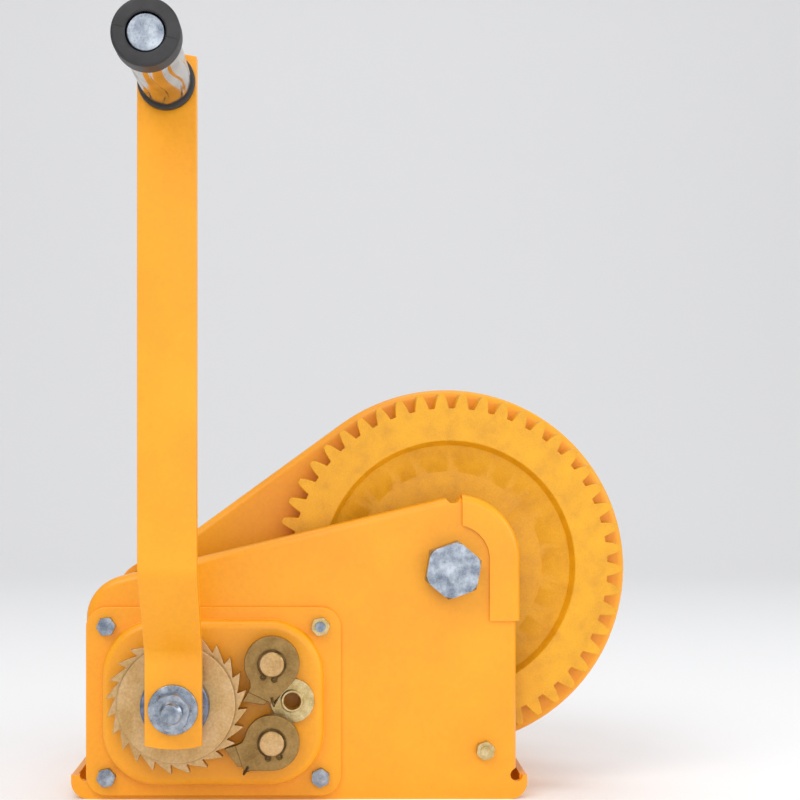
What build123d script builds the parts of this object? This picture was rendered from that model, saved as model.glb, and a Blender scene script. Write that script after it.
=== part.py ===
from build123d import *
import math
import os

# Hand-cranked brake winch. Millimetres, +Z up, +X to the right as seen from the crank side,
# crank side towards -Y. Origin: centre of the base's underside.

# Frame
SHEET = 4.0                    # side plates, gear-side plate and base
BEND_R = 5.0                   # outside radius of the folded edges
FRAME_DEPTH = 156.0            # over the outer faces of the front and rear plates
BASE_LENGTH = 268.0
BASE_WALL_HEIGHT = 14.0        # folded-up ends of the base, and the feet of the side plates
BASE_CORNER_R = 10.0
PLATE_LEFT = -125.4            # left edge of the side plates
PLATE_RIGHT = 127.8
PLATE_LEFT_TOP = 125.5         # height of the sloping top edge, carried on to the left edge
PLATE_TOP_SLOPE = 13.6         # degrees
PLATE_LEFT_R = 25.0
PLATE_RIGHT_R = 36.0
FLANGE_DEPTH = 14.0            # depth of the folded edges, sheet included
FOOT_NOTCH_R = 3.6             # relief where a folded edge meets the foot
TOP_NOTCH_R = 4.2              # relief where the top fold ends at the corner guard

# Corner guard
GUARD_SHEET = 2.0
GUARD_WIDTH = 16.0
GUARD_DROP = 82.0              # from the plate's top right corner down to the guard's lower end

# Mounting holes in the base
MOUNT_SPACING_X = 200.0
MOUNT_SPACING_Y = 90.0
MOUNT_HOLE_R = 5.5

# Shaft lines
CRANK_X = -69.8
CRANK_Z = 60.0
DRUM_LINE_ANGLE = 38.7         # degrees, from the layshaft to the drum axle

# Gears
PRESSURE_ANGLE = 20.0
BACKLASH = 0.30
STAGE_ONE_MODULE = 3.0
CRANK_PINION_TEETH = 12
LAYSHAFT_GEAR_TEETH = 32
STAGE_ONE_FACE = 8.0
STAGE_TWO_MODULE = 4.0
LAYSHAFT_PINION_TEETH = 10
DRUM_GEAR_TEETH = 50
DRUM_GEAR_FACE = 22.0
DEDENDUM = 1.25                # root depth, in modules
PINION_RELIEF = 1.5            # degrees cut from each side of a pinion tooth at its root
PINION_OVERHANG = 1.0          # crank pinion beyond its gear, each side
AXIAL_GAP = 1.5                # between parts that turn at different speeds

# Drum
GEAR_RIM_WIDTH = 19.4          # from the tooth roots to the edge of the dish
DISH_WALL_WIDTH = 2.6          # steep wall at the edge of the dish
DISH_WALL_DEPTH = 5.0
DISH_SLOPE_WIDTH = 18.6
DISH_DEPTH = 11.0
WEB_THICKNESS = 6.0
BARREL_R = 31.0
BARREL_WALL = 6.0
DRUM_FLANGE_GAP = 18.0         # inside the folded rim of the gear-side plate
DRUM_FLANGE_SHEET = 3.0
DRUM_LENGTH = 81.0             # over the flanges; the clamp screws turn inside the rear rim
AXLE_R = 10.0
AXLE_HEAD_FLATS = 30.0
AXLE_HEAD_HEIGHT = 12.5
AXLE_NUT_HEIGHT = 16.0
AXLE_BOLT_PROUD = 4.0
AXLE_WASHER_WIDTH = 8.5
SPACER_END_GAP = 0.2           # between an axle spacer and the turning drum
BUSH_WALL = 3.0
DRUM_BUSH_LENGTH = 20.0
RUNNING_CLEARANCE = 0.05       # radial
HOLE_CLEARANCE = 0.5           # radial, bolts in plates

# Shafts
SHAFT_R = 8.0
SHAFT_BUSH_WALL = 3.5
BUSH_FLANGE_WIDTH = 3.0
BUSH_FLANGE = 1.5
BUSH_END_GAP = 0.5             # between the layshaft's front bush and its gear

# Gear-side plate
GEAR_SIDE_MARGIN = 6.0         # plate beyond the tips of the drum gear
GEAR_SIDE_DROP = 3.0           # centre of the plate's round end below the drum axis
GEAR_SIDE_SLOPE = 36.0         # degrees
GEAR_SIDE_LEFT = -123.0
GEAR_SIDE_RIGHT = 119.0
GEAR_SIDE_LEFT_R = 22.0
BARREL_HOLE_GAP = 3.0

# Brake cover
COVER_SHEET = 3.0
COVER_WIDTH = 149.5
COVER_HEIGHT = 110.6
COVER_X = -50.1
COVER_Z = 57.7
COVER_CORNER_R = 12.0
PAN_WIDTH = 129.0
PAN_HEIGHT = 96.0
PAN_RISE = 9.0
PAN_CORNER_R = 32.0
PAN_EDGE_R = 5.0
COVER_SHAFT_GAP = 1.0          # around the brake hub's boss
COVER_BOLT_SPACING_X = 125.2
COVER_BOLT_SPACING_Z = 88.4
BOLT_R = 3.0
BOLT_FLATS = 10.0
BOLT_HEAD_HEIGHT = 4.0
NUT_HEIGHT = 5.0
BOLT_PROUD = 1.0
STAGE_ONE_GAP = 1.0            # from the bolt tips to the first gear

# Brake
HUB_DISC_R = 33.0
HUB_DISC_THICKNESS = 4.0
HUB_BOSS_R = 13.0
LINING_THICKNESS = 1.5
LINING_R = 33.0
RATCHET_TEETH = 24
RATCHET_TIP_R = 40.6
RATCHET_ROOT_R = 35.2
RATCHET_THICKNESS = 6.5
RATCHET_HOOK = 1.5             # degrees that a tooth tip leans over its root
RATCHET_PHASE = -5.4           # degrees, first tooth root from the +X direction
RATCHET_BACK_SAG = 0.25        # hollow of the long side of a tooth
BRAKE_GAP = 0.1
PRESSURE_DISC_R = 34.0
PRESSURE_DISC_THICKNESS = 2.0
THREADED_HUB_R = 19.5
THREADED_HUB_THICKNESS = 10.0

# Pawls
PAWL_PIN_DISTANCE = 59.0       # from the crank axis
PAWL_PIN_ANGLE = 22.5          # degrees above the crank axis
PAWL_STEP_ANGLE = 45.0         # degrees between the two pawls, three ratchet teeth
PAWL_HUB_R = 15.9
PAWL_PIN_R = 7.0
PAWL_TIP_STEP = 1.2
PIN_SHOULDER_R = 8.6
PIN_GROOVE_R = 6.2
PIN_END_PROUD = 1.6            # pin beyond the clip
PIN_END_CHAMFER = 0.5
CLIP_THICKNESS = 1.2
CLIP_R = 8.4
CLIP_EAR_R = 1.9
SPRING_WIRE_R = 0.7
SPRING_COIL_R = 10.4
SPRING_TURNS = 3
SPRING_TURN_GAP = 0.21         # between two turns
SPRING_LEG_BEND_R = 1.4
SPRING_LEG_GAP = 0.1           # between the hooked leg and the pawl's face
SPRING_GAP = 1.2               # between the pawl and the middle of the nearest turn

# Layshaft cap on the brake cover
CAP_PLATE_R = 12.8
CAP_PLATE_THICKNESS = 3.0
CAP_COLLAR_R = 6.4
CAP_COLLAR_RISE = 2.0
CAP_HOLE_R = 4.9

# Crank arm and grip
ARM_WIDTH = 32.0
ARM_THICKNESS = 7.0
ARM_LENGTH = 342.0             # hub to grip axis
ARM_OFFSET = 36.0              # forward step of the arm
ARM_BELOW_HUB = 22.5
ARM_ABOVE_GRIP = 16.0
ARM_BEND_START = 30.0          # above the hub
ARM_BEND_RISE = 48.0
ARM_BEND_R = 14.0
ARM_END_BULGE = 2.0
WASHER_R = 14.0
WASHER_THICKNESS = 2.5
CRANK_STUD_R = 6.0
CRANK_NUT_FLATS = 19.0
CRANK_NUT_HEIGHT = 10.0
CRANK_STUD_PROUD = 6.0
GRIP_PIN_R = 6.0
GRIP_PIN_HEAD_R = 9.3
GRIP_PIN_HEAD = 6.0
GRIP_CORE_WALL = 4.0
GRIP_SLEEVE_R = 14.2
GRIP_FLUTES = 8
GRIP_FLUTE_DEPTH = 1.2
GRIP_FLUTE_R = 4.0
GRIP_SLEEVE_LENGTH = 86.0
GRIP_COLLAR_R = 15.4
GRIP_COLLAR_LENGTH = 5.0
GRIP_CAP_R = 16.6
GRIP_CAP_LENGTH = 14.0
GRIP_HEAD_RECESS = 1.5
GRIP_HEAD_GAP = 0.4            # around the pin's head in the cap
GRIP_ARM_GAP = 0.5             # between the grip and the arm
GRIP_PIN_RIVET = 2.0           # pin beyond the back of the arm
GRIP_CAP_ROUND = 1.5
GRIP_COLLAR_ROUND = 1.2

# Base bracket
BRACKET_X = 109.2
BRACKET_BOLT_Z = 29.0
BRACKET_WIDTH = 22.0
BRACKET_SHEET = 3.0
BRACKET_FOOT = 16.0
BRACKET_ABOVE_BOLT = 9.0

# Rope clamp on the rear drum flange
CLAMP_RADIUS = 62.0            # from the drum axis
CLAMP_LENGTH = 30.0
CLAMP_WIDTH = 14.0
CLAMP_THICKNESS = 3.0
CLAMP_CORNER_R = 4.0
CLAMP_SCREW_R = 2.5
CLAMP_SCREW_FLATS = 8.0
CLAMP_SCREW_HEAD = 3.0
CLAMP_SCREW_SPACING = 16.0

# Stations along Y, from the front plate backwards
Y_FRONT = -FRAME_DEPTH / 2
Y_REAR = FRAME_DEPTH / 2
Y_FRONT_INNER = Y_FRONT + SHEET
Y_REAR_INNER = Y_REAR - SHEET
Y_STAGE_ONE = Y_FRONT_INNER + NUT_HEIGHT + BOLT_PROUD + STAGE_ONE_GAP
Y_STAGE_ONE_BACK = Y_STAGE_ONE + STAGE_ONE_FACE
Y_GEAR = Y_STAGE_ONE_BACK + AXIAL_GAP
Y_GEAR_BACK = Y_GEAR + DRUM_GEAR_FACE
Y_SIDE = Y_GEAR_BACK + 2 * AXIAL_GAP
Y_SIDE_BACK = Y_SIDE + SHEET
Y_DRUM = Y_SIDE_BACK + 2 * AXIAL_GAP
Y_DRUM_BACK = Y_DRUM + DRUM_LENGTH
Y_SHAFT_END = Y_SIDE_BACK + BUSH_FLANGE + AXIAL_GAP

# Stations along Y, from the front plate forwards
Y_COVER = Y_FRONT - COVER_SHEET
Y_PAN = Y_COVER - PAN_RISE
Y_HUB_DISC_BACK = Y_PAN - AXIAL_GAP
Y_HUB_DISC = Y_HUB_DISC_BACK - HUB_DISC_THICKNESS
Y_RATCHET_BACK = Y_HUB_DISC - LINING_THICKNESS - BRAKE_GAP
Y_RATCHET = Y_RATCHET_BACK - RATCHET_THICKNESS
Y_FRONT_LINING = Y_RATCHET - BRAKE_GAP - LINING_THICKNESS
Y_PRESSURE_DISC = Y_FRONT_LINING - PRESSURE_DISC_THICKNESS
Y_ARM_BACK = Y_PRESSURE_DISC - THREADED_HUB_THICKNESS
Y_ARM = Y_ARM_BACK - ARM_THICKNESS
Y_WASHER = Y_ARM - WASHER_THICKNESS
Y_CRANK_NUT = Y_WASHER - CRANK_NUT_HEIGHT
Y_CRANK_END = Y_CRANK_NUT - CRANK_STUD_PROUD
Y_UPPER_ARM = Y_ARM - ARM_OFFSET
Y_GRIP = Y_UPPER_ARM - GRIP_ARM_GAP
Y_GRIP_SLEEVE = Y_GRIP - GRIP_COLLAR_LENGTH
Y_GRIP_CAP = Y_GRIP_SLEEVE - GRIP_SLEEVE_LENGTH
Y_GRIP_END = Y_GRIP_CAP - GRIP_CAP_LENGTH

# Shaft lines worked out from the gears
STAGE_ONE_CENTRES = STAGE_ONE_MODULE * (CRANK_PINION_TEETH + LAYSHAFT_GEAR_TEETH) / 2
STAGE_TWO_CENTRES = STAGE_TWO_MODULE * (LAYSHAFT_PINION_TEETH + DRUM_GEAR_TEETH) / 2
LAYSHAFT_X = CRANK_X + STAGE_ONE_CENTRES
LAYSHAFT_Z = CRANK_Z
DRUM_X = LAYSHAFT_X + STAGE_TWO_CENTRES * math.cos(math.radians(DRUM_LINE_ANGLE))
DRUM_Z = LAYSHAFT_Z + STAGE_TWO_CENTRES * math.sin(math.radians(DRUM_LINE_ANGLE))
GEAR_TIP_R = STAGE_TWO_MODULE * (DRUM_GEAR_TEETH / 2 + 1)
GEAR_ROOT_R = STAGE_TWO_MODULE * (DRUM_GEAR_TEETH / 2 - DEDENDUM)
DRUM_FLANGE_R = GEAR_TIP_R + GEAR_SIDE_MARGIN - SHEET - DRUM_FLANGE_GAP
GRIP_Z = CRANK_Z + ARM_LENGTH


def front_plane(y):
    """Plane facing the crank side: its x is X and its y is Z."""
    return Plane(origin=(0, y, 0), x_dir=(1, 0, 0), z_dir=(0, -1, 0))


def slab(outline, y_front, y_back):
    """Outline drawn in X and Z, made solid between two stations along Y."""
    return extrude(front_plane(y_back) * outline, amount=y_back - y_front)


def ring(x, z, radius, y_front, y_back, bore=0.0):
    """Disc or tube along Y."""
    outline = Pos(x, z) * Circle(radius)
    if bore > 0:
        outline -= Pos(x, z) * Circle(bore)
    return slab(outline, y_front, y_back)


def polar(radius, degrees, x=0.0, z=0.0):
    """Point at a radius and an angle from a centre."""
    angle = math.radians(degrees)
    return (x + radius * math.cos(angle), z + radius * math.sin(angle))


def hexagon(x, z, flats, y_front, y_back, bevel_front, turn=0.0):
    """Hexagon along Y whose corners are bevelled at its outer face."""
    outline = Pos(x, z) * RegularPolygon(flats / 2, 6, major_radius=False, rotation=turn)
    body = slab(outline, y_front, y_back)
    corner_r = flats / math.sqrt(3)
    blank = ring(x, z, corner_r, y_front, y_back)
    y_face = y_front if bevel_front else y_back
    rim = [e for e in blank.edges() if abs(e.center().Y - y_face) < 1e-6]
    blank = chamfer(rim, corner_r - flats / 2, flats * 0.045)
    return body & blank


def bolt(x, z, radius, flats, head, y_head, y_end, head_in_front, turn=0.0):
    """Hex bolt along Y. y_head is the seat of the head, y_end the tip of the shank."""
    if head_in_front:
        head_body = hexagon(x, z, flats, y_head - head, y_head, True, turn)
        return head_body + ring(x, z, radius, y_head, y_end)
    head_body = hexagon(x, z, flats, y_head, y_head + head, False, turn)
    return head_body + ring(x, z, radius, y_end, y_head)


def nut(x, z, flats, bore, y_front, y_back, bevel_front, turn=0.0):
    """Hex nut along Y."""
    return hexagon(x, z, flats, y_front, y_back, bevel_front, turn) - ring(x, z, bore, y_front, y_back)


def involute(radius, base_r):
    """Involute angle in radians at a radius."""
    if radius <= base_r:
        return 0.0
    angle = math.acos(base_r / radius)
    return math.tan(angle) - angle


def gear_outline(module, teeth, gap_angle, relief=0.0):
    """Spur gear outline about the origin, with a tooth gap at gap_angle degrees."""
    pitch_r = module * teeth / 2
    base_r = pitch_r * math.cos(math.radians(PRESSURE_ANGLE))
    tip_r = pitch_r + module
    root_r = pitch_r - DEDENDUM * module
    foot_r = max(base_r, root_r)
    mid_r = (foot_r + tip_r) / 2
    half_pitch = math.pi / (2 * teeth) - BACKLASH / (4 * pitch_r)

    def half_tooth(radius):
        turn = half_pitch + involute(pitch_r, base_r) - involute(radius, base_r)
        return math.degrees(turn)

    edges = []
    pitch = 360 / teeth
    for i in range(teeth):
        centre = gap_angle + (i + 0.5) * pitch
        root_half = half_tooth(foot_r) - relief
        left_root = polar(root_r, centre - root_half)
        left_foot = polar(foot_r, centre - half_tooth(foot_r))
        left_mid = polar(mid_r, centre - half_tooth(mid_r))
        left_tip = polar(tip_r, centre - half_tooth(tip_r))
        right_tip = polar(tip_r, centre + half_tooth(tip_r))
        right_mid = polar(mid_r, centre + half_tooth(mid_r))
        right_foot = polar(foot_r, centre + half_tooth(foot_r))
        right_root = polar(root_r, centre + root_half)
        if foot_r > root_r:
            edges.append(Line(left_root, left_foot))
        edges.append(ThreePointArc(left_foot, left_mid, left_tip))
        edges.append(ThreePointArc(left_tip, polar(tip_r, centre), right_tip))
        edges.append(ThreePointArc(right_tip, right_mid, right_foot))
        if foot_r > root_r:
            edges.append(Line(right_foot, right_root))
        next_root = polar(root_r, centre + pitch - root_half)
        edges.append(ThreePointArc(right_root, polar(root_r, centre + pitch / 2), next_root))
    return make_face(Curve() + edges)


def base_plate():
    """Flat floor with folded-up ends and the mounting holes."""
    outer = Pos(0, BASE_WALL_HEIGHT / 2) * Rectangle(BASE_LENGTH, BASE_WALL_HEIGHT)
    outer = fillet(outer.vertices().group_by(Axis.Y)[0], BASE_CORNER_R)
    inner = Pos(0, SHEET + BASE_WALL_HEIGHT / 2) * Rectangle(BASE_LENGTH - 2 * SHEET, BASE_WALL_HEIGHT)
    inner = fillet(inner.vertices().group_by(Axis.Y)[0], BASE_CORNER_R - SHEET)
    body = slab(outer - inner, Y_FRONT_INNER, Y_REAR_INNER)
    for x in (-MOUNT_SPACING_X / 2, MOUNT_SPACING_X / 2):
        for y in (-MOUNT_SPACING_Y / 2, MOUNT_SPACING_Y / 2):
            body -= Pos(x, y, SHEET / 2) * Cylinder(MOUNT_HOLE_R, SHEET * 2)
    return body


def plate_top(x):
    """Height of the side plates' sloping top edge."""
    return PLATE_LEFT_TOP + (x - PLATE_LEFT) * math.tan(math.radians(PLATE_TOP_SLOPE))


def plate_outline(inset=0.0):
    """Upper part of a side plate, above the foot; the inset leaves it open below."""
    left = PLATE_LEFT + inset
    right = PLATE_RIGHT - inset
    drop = inset / math.cos(math.radians(PLATE_TOP_SLOPE))
    outline = make_face(Polyline(
        (left, -inset),
        (right, -inset),
        (right, plate_top(right) - drop),
        (left, plate_top(left) - drop),
        close=True,
    ))
    corners = outline.vertices().sort_by(Axis.Y)
    outline = fillet(corners[-1], PLATE_RIGHT_R - inset)
    corners = outline.vertices().filter_by(lambda v: abs(v.X - left) < 1e-3).sort_by(Axis.Y)
    return fillet(corners[-1], PLATE_LEFT_R - inset)


def foot_outline():
    """Foot of a side plate, as long as the base and with the same rounded corners."""
    outline = Pos(0, BASE_WALL_HEIGHT / 2) * Rectangle(BASE_LENGTH, BASE_WALL_HEIGHT)
    return fillet(outline.vertices().group_by(Axis.Y)[0], BASE_CORNER_R)


def side_plate():
    """Front plate: flat face, folded top and ends, foot, and relief notches at the folds' ends."""
    body = slab(plate_outline(), Y_FRONT, Y_FRONT + FLANGE_DEPTH)
    rim = body.edges().filter_by(lambda e: abs(e.bounding_box().max.Y - Y_FRONT) < 1e-4)
    rim = rim.filter_by(lambda e: e.center().Z > 1.0)
    body = fillet(rim, BEND_R)
    body -= slab(plate_outline(SHEET), Y_FRONT_INNER, Y_FRONT + FLANGE_DEPTH)
    foot_space = Rectangle(BASE_LENGTH, BASE_WALL_HEIGHT * 2)
    body -= slab(foot_space, Y_FRONT, Y_FRONT + FLANGE_DEPTH)
    body += slab(foot_outline(), Y_FRONT, Y_FRONT_INNER)
    for x in (PLATE_LEFT, PLATE_RIGHT):
        body -= ring(x, BASE_WALL_HEIGHT, FOOT_NOTCH_R, Y_FRONT, Y_FRONT + FLANGE_DEPTH)
    return body


def guard_start():
    """Where the corner guard begins on the top edge: X of its left end."""
    return PLATE_RIGHT - PLATE_RIGHT_R + 4.0


def front_plate():
    """Side plate on the crank side, with the holes for shafts, axle and bolts."""
    body = side_plate()
    notch_x = guard_start() - TOP_NOTCH_R - 1.0
    body -= ring(notch_x, plate_top(notch_x), TOP_NOTCH_R, Y_FRONT, Y_FRONT + FLANGE_DEPTH)
    body -= ring(DRUM_X, DRUM_Z, AXLE_R + HOLE_CLEARANCE, Y_FRONT, Y_FRONT_INNER)
    body -= ring(CRANK_X, CRANK_Z, SHAFT_R + SHAFT_BUSH_WALL, Y_FRONT, Y_FRONT_INNER)
    body -= ring(BRACKET_X, BRACKET_BOLT_Z, BOLT_R + HOLE_CLEARANCE, Y_FRONT, Y_FRONT_INNER)
    for x, z in cover_bolt_places():
        body -= ring(x, z, BOLT_R + HOLE_CLEARANCE, Y_FRONT, Y_FRONT_INNER)
    for x, z in pawl_pin_places():
        body -= ring(x, z, PAWL_PIN_R, Y_FRONT, Y_FRONT_INNER)
    return body


def rear_plate():
    """Side plate on the far side: the same pressing turned to face the other way, one axle hole."""
    body = mirror(side_plate(), about=Plane.XZ)
    body -= ring(DRUM_X, DRUM_Z, AXLE_R + HOLE_CLEARANCE, Y_REAR_INNER, Y_REAR)
    return body


def corner_guard():
    """Strip that wraps over the front plate's top right corner, with a lip behind the rounded edge."""
    lower = plate_top(PLATE_RIGHT) - GUARD_DROP
    keep = Pos((guard_start() + PLATE_RIGHT + 40) / 2, lower + 200) * Rectangle(
        PLATE_RIGHT + 40 - guard_start(), 400)
    outer = offset(plate_outline(), GUARD_SHEET)
    inner = plate_outline(GUARD_WIDTH)
    y_face = Y_FRONT - GUARD_SHEET
    y_lip = Y_FRONT + FLANGE_DEPTH * 0.8
    body = slab(outer & keep, y_face, y_lip)
    rim = body.edges().filter_by(lambda e: abs(e.bounding_box().max.Y - y_face) < 1e-4)
    rim = rim.filter_by(lambda e: e.center().X > guard_start() + 1 and e.center().Z > lower + 1)
    body = fillet(rim, BEND_R)
    cover = slab(plate_outline(), Y_FRONT, Y_FRONT + FLANGE_DEPTH)
    rim = cover.edges().filter_by(lambda e: abs(e.bounding_box().max.Y - Y_FRONT) < 1e-4)
    rim = rim.filter_by(lambda e: e.center().Z > 1.0)
    cover = fillet(rim, BEND_R)
    return body - cover - slab(inner, y_face, y_lip)


def gear_side_outline(inset=0.0):
    """Round about the drum gear, with a slope down to the crank end."""
    radius = GEAR_TIP_R + GEAR_SIDE_MARGIN - inset
    left = GEAR_SIDE_LEFT + inset
    right = GEAR_SIDE_RIGHT - inset
    centre_z = DRUM_Z - GEAR_SIDE_DROP
    touch = polar(radius, 90 + GEAR_SIDE_SLOPE, DRUM_X, centre_z)
    left_top = touch[1] - (touch[0] - left) * math.tan(math.radians(GEAR_SIDE_SLOPE))
    body = make_face(Polyline(
        (left, SHEET - inset),
        (right, SHEET - inset),
        (right, centre_z),
        (DRUM_X, centre_z),
        touch,
        (left, left_top),
        close=True,
    ))
    corner = body.vertices().filter_by(lambda v: abs(v.X - left) < 1e-3).sort_by(Axis.Y)[-1]
    body = fillet(corner, GEAR_SIDE_LEFT_R - inset)
    return body + Pos(DRUM_X, centre_z) * Circle(radius)


def gear_side_plate():
    """Middle plate behind the drum gear, with a rim folded backwards and the shaft bearings' seats."""
    body = slab(gear_side_outline(), Y_SIDE, Y_SIDE + FLANGE_DEPTH)
    rim = body.edges().filter_by(lambda e: abs(e.bounding_box().max.Y - Y_SIDE) < 1e-4)
    rim = rim.filter_by(lambda e: e.center().Z > SHEET + 1.0)
    body = fillet(rim, BEND_R)
    body -= slab(gear_side_outline(SHEET), Y_SIDE_BACK, Y_SIDE + FLANGE_DEPTH)
    body -= ring(DRUM_X, DRUM_Z, BARREL_R + BARREL_HOLE_GAP, Y_SIDE, Y_SIDE_BACK)
    body -= ring(CRANK_X, CRANK_Z, SHAFT_R + SHAFT_BUSH_WALL, Y_SIDE, Y_SIDE_BACK)
    body -= ring(LAYSHAFT_X, LAYSHAFT_Z, SHAFT_R + SHAFT_BUSH_WALL, Y_SIDE, Y_SIDE_BACK)
    return body


def cover_bolt_places():
    """Centres of the brake cover's four bolts: lower left, lower right, upper left, upper right."""
    places = []
    for z in (-COVER_BOLT_SPACING_Z / 2, COVER_BOLT_SPACING_Z / 2):
        for x in (-COVER_BOLT_SPACING_X / 2, COVER_BOLT_SPACING_X / 2):
            places.append((COVER_X + x, COVER_Z + z))
    return places


def pawl_pin_places():
    """Centres of the upper and the lower pawl pin."""
    upper = polar(PAWL_PIN_DISTANCE, PAWL_PIN_ANGLE, CRANK_X, CRANK_Z)
    lower = polar(PAWL_PIN_DISTANCE, PAWL_PIN_ANGLE - PAWL_STEP_ANGLE, CRANK_X, CRANK_Z)
    return [upper, lower]


def brake_cover():
    """Pressed cover: flat margin with four bolts around a raised pan."""
    margin = RectangleRounded(COVER_WIDTH, COVER_HEIGHT, COVER_CORNER_R)
    pan = RectangleRounded(PAN_WIDTH, PAN_HEIGHT, PAN_CORNER_R)
    hollow = RectangleRounded(PAN_WIDTH - 2 * COVER_SHEET, PAN_HEIGHT - 2 * COVER_SHEET,
                              PAN_CORNER_R - COVER_SHEET)
    place = Pos(COVER_X, COVER_Z)
    body = slab(place * margin, Y_COVER, Y_FRONT)
    rise = slab(place * pan, Y_PAN, Y_COVER)
    rim = rise.edges().filter_by(lambda e: abs(e.bounding_box().max.Y - Y_PAN) < 1e-4)
    rise = fillet(rim, PAN_EDGE_R)
    body = body + rise - slab(place * hollow, Y_PAN + COVER_SHEET, Y_FRONT)
    body -= ring(CRANK_X, CRANK_Z, HUB_BOSS_R + COVER_SHAFT_GAP, Y_PAN, Y_FRONT)
    body -= ring(LAYSHAFT_X, LAYSHAFT_Z, CAP_HOLE_R, Y_PAN, Y_FRONT)
    for x, z in cover_bolt_places():
        body -= ring(x, z, BOLT_R + HOLE_CLEARANCE, Y_COVER, Y_FRONT)
    for x, z in pawl_pin_places():
        body -= ring(x, z, PIN_SHOULDER_R, Y_PAN, Y_FRONT)
    return body


def cover_bolts():
    """Four bolts; the upper right one is fitted from behind."""
    places = cover_bolt_places()
    turns = (12.0, 25.0, 5.0, 0.0)
    bodies = []
    for place, turn in list(zip(places, turns))[:3]:
        x, z = place
        end = Y_FRONT_INNER + NUT_HEIGHT + BOLT_PROUD
        bodies.append(bolt(x, z, BOLT_R, BOLT_FLATS, BOLT_HEAD_HEIGHT, Y_COVER, end, True, turn))
    x, z = places[3]
    end = Y_COVER - NUT_HEIGHT - BOLT_PROUD
    bodies.append(bolt(x, z, BOLT_R, BOLT_FLATS, BOLT_HEAD_HEIGHT, Y_FRONT_INNER, end, False))
    return bodies


def cover_nuts():
    """Nuts of the cover bolts: three behind the front plate, one on the cover."""
    places = cover_bolt_places()
    bodies = []
    for x, z in places[:3]:
        bodies.append(nut(x, z, BOLT_FLATS, BOLT_R, Y_FRONT_INNER, Y_FRONT_INNER + NUT_HEIGHT, False))
    x, z = places[3]
    bodies.append(nut(x, z, BOLT_FLATS, BOLT_R, Y_COVER - NUT_HEIGHT, Y_COVER, True, 10.0))
    return bodies


def shaft_bushes(x, z, y_seat, y_seat_end):
    """Flanged bushes of one shaft, at the front plate and in the gear-side plate."""
    bore = SHAFT_R + RUNNING_CLEARANCE
    seat = SHAFT_R + SHAFT_BUSH_WALL
    flange = seat + BUSH_FLANGE_WIDTH
    front = ring(x, z, seat, y_seat, y_seat_end, bore)
    front += ring(x, z, flange, Y_FRONT_INNER, Y_FRONT_INNER + BUSH_FLANGE, bore)
    rear = ring(x, z, seat, Y_SIDE, Y_SIDE_BACK, bore)
    rear += ring(x, z, flange, Y_SIDE_BACK, Y_SIDE_BACK + BUSH_FLANGE, bore)
    return [front, rear]


def drum_gear():
    """Cast spur gear: toothed rim, dished web and a seat for the barrel."""
    outline = gear_outline(STAGE_TWO_MODULE, DRUM_GEAR_TEETH, DRUM_LINE_ANGLE + 180)
    body = slab(Pos(DRUM_X, DRUM_Z) * outline, Y_GEAR, Y_GEAR_BACK)
    rim_r = GEAR_ROOT_R - GEAR_RIM_WIDTH
    floor_r = rim_r - DISH_SLOPE_WIDTH
    wall = (rim_r - DISH_WALL_WIDTH, DISH_WALL_DEPTH)
    dish = make_face(Polyline((0, 0), (rim_r, 0), wall, (floor_r, DISH_DEPTH), (0, DISH_DEPTH), close=True))
    back = DRUM_GEAR_FACE - DISH_DEPTH - WEB_THICKNESS
    hollow = make_face(Polyline((0, 0), (rim_r, 0), (rim_r, back), (0, back), close=True))
    axis_plane = Plane(origin=(DRUM_X, Y_GEAR, DRUM_Z), x_dir=(1, 0, 0), z_dir=(0, 0, 1))
    drum_axis = Axis((DRUM_X, 0, DRUM_Z), (0, 1, 0))
    body -= revolve(axis_plane * dish, drum_axis)
    back_plane = Plane(origin=(DRUM_X, Y_GEAR_BACK, DRUM_Z), x_dir=(1, 0, 0), z_dir=(0, 0, -1))
    body -= revolve(back_plane * hollow, drum_axis)
    return body - ring(DRUM_X, DRUM_Z, BARREL_R, Y_GEAR, Y_GEAR_BACK)


def drum_barrel():
    """Tube from the gear's web, through the gear-side plate, to the rear flange."""
    return ring(DRUM_X, DRUM_Z, BARREL_R, Y_GEAR + DISH_DEPTH, Y_DRUM_BACK, BARREL_R - BARREL_WALL)


def drum_hubs():
    """End discs of the barrel, bored for the bushes."""
    outer = BARREL_R - BARREL_WALL
    bore = AXLE_R + BUSH_WALL
    front_start = Y_GEAR + DISH_DEPTH
    front = ring(DRUM_X, DRUM_Z, outer, front_start, front_start + DRUM_BUSH_LENGTH, bore)
    rear = ring(DRUM_X, DRUM_Z, outer, Y_DRUM_BACK - DRUM_BUSH_LENGTH, Y_DRUM_BACK, bore)
    return [front, rear]


def drum_bushes():
    """Bronze bushes between the barrel's hubs and the axle."""
    outer = AXLE_R + BUSH_WALL
    bore = AXLE_R + RUNNING_CLEARANCE
    front_start = Y_GEAR + DISH_DEPTH
    front = ring(DRUM_X, DRUM_Z, outer, front_start, front_start + DRUM_BUSH_LENGTH, bore)
    rear = ring(DRUM_X, DRUM_Z, outer, Y_DRUM_BACK - DRUM_BUSH_LENGTH, Y_DRUM_BACK, bore)
    return [front, rear]


def drum_flange(y_front, screw_holes):
    """Drum flange, seated on the barrel."""
    y_back = y_front + DRUM_FLANGE_SHEET
    body = ring(DRUM_X, DRUM_Z, DRUM_FLANGE_R, y_front, y_back, BARREL_R)
    if screw_holes:
        for x, z in clamp_screw_places():
            body -= ring(x, z, CLAMP_SCREW_R, y_front, y_back)
    rim = body.edges().filter_by(GeomType.CIRCLE).filter_by(lambda e: abs(e.radius - DRUM_FLANGE_R) < 1e-3)
    return fillet(rim, DRUM_FLANGE_SHEET * 0.3)


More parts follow.
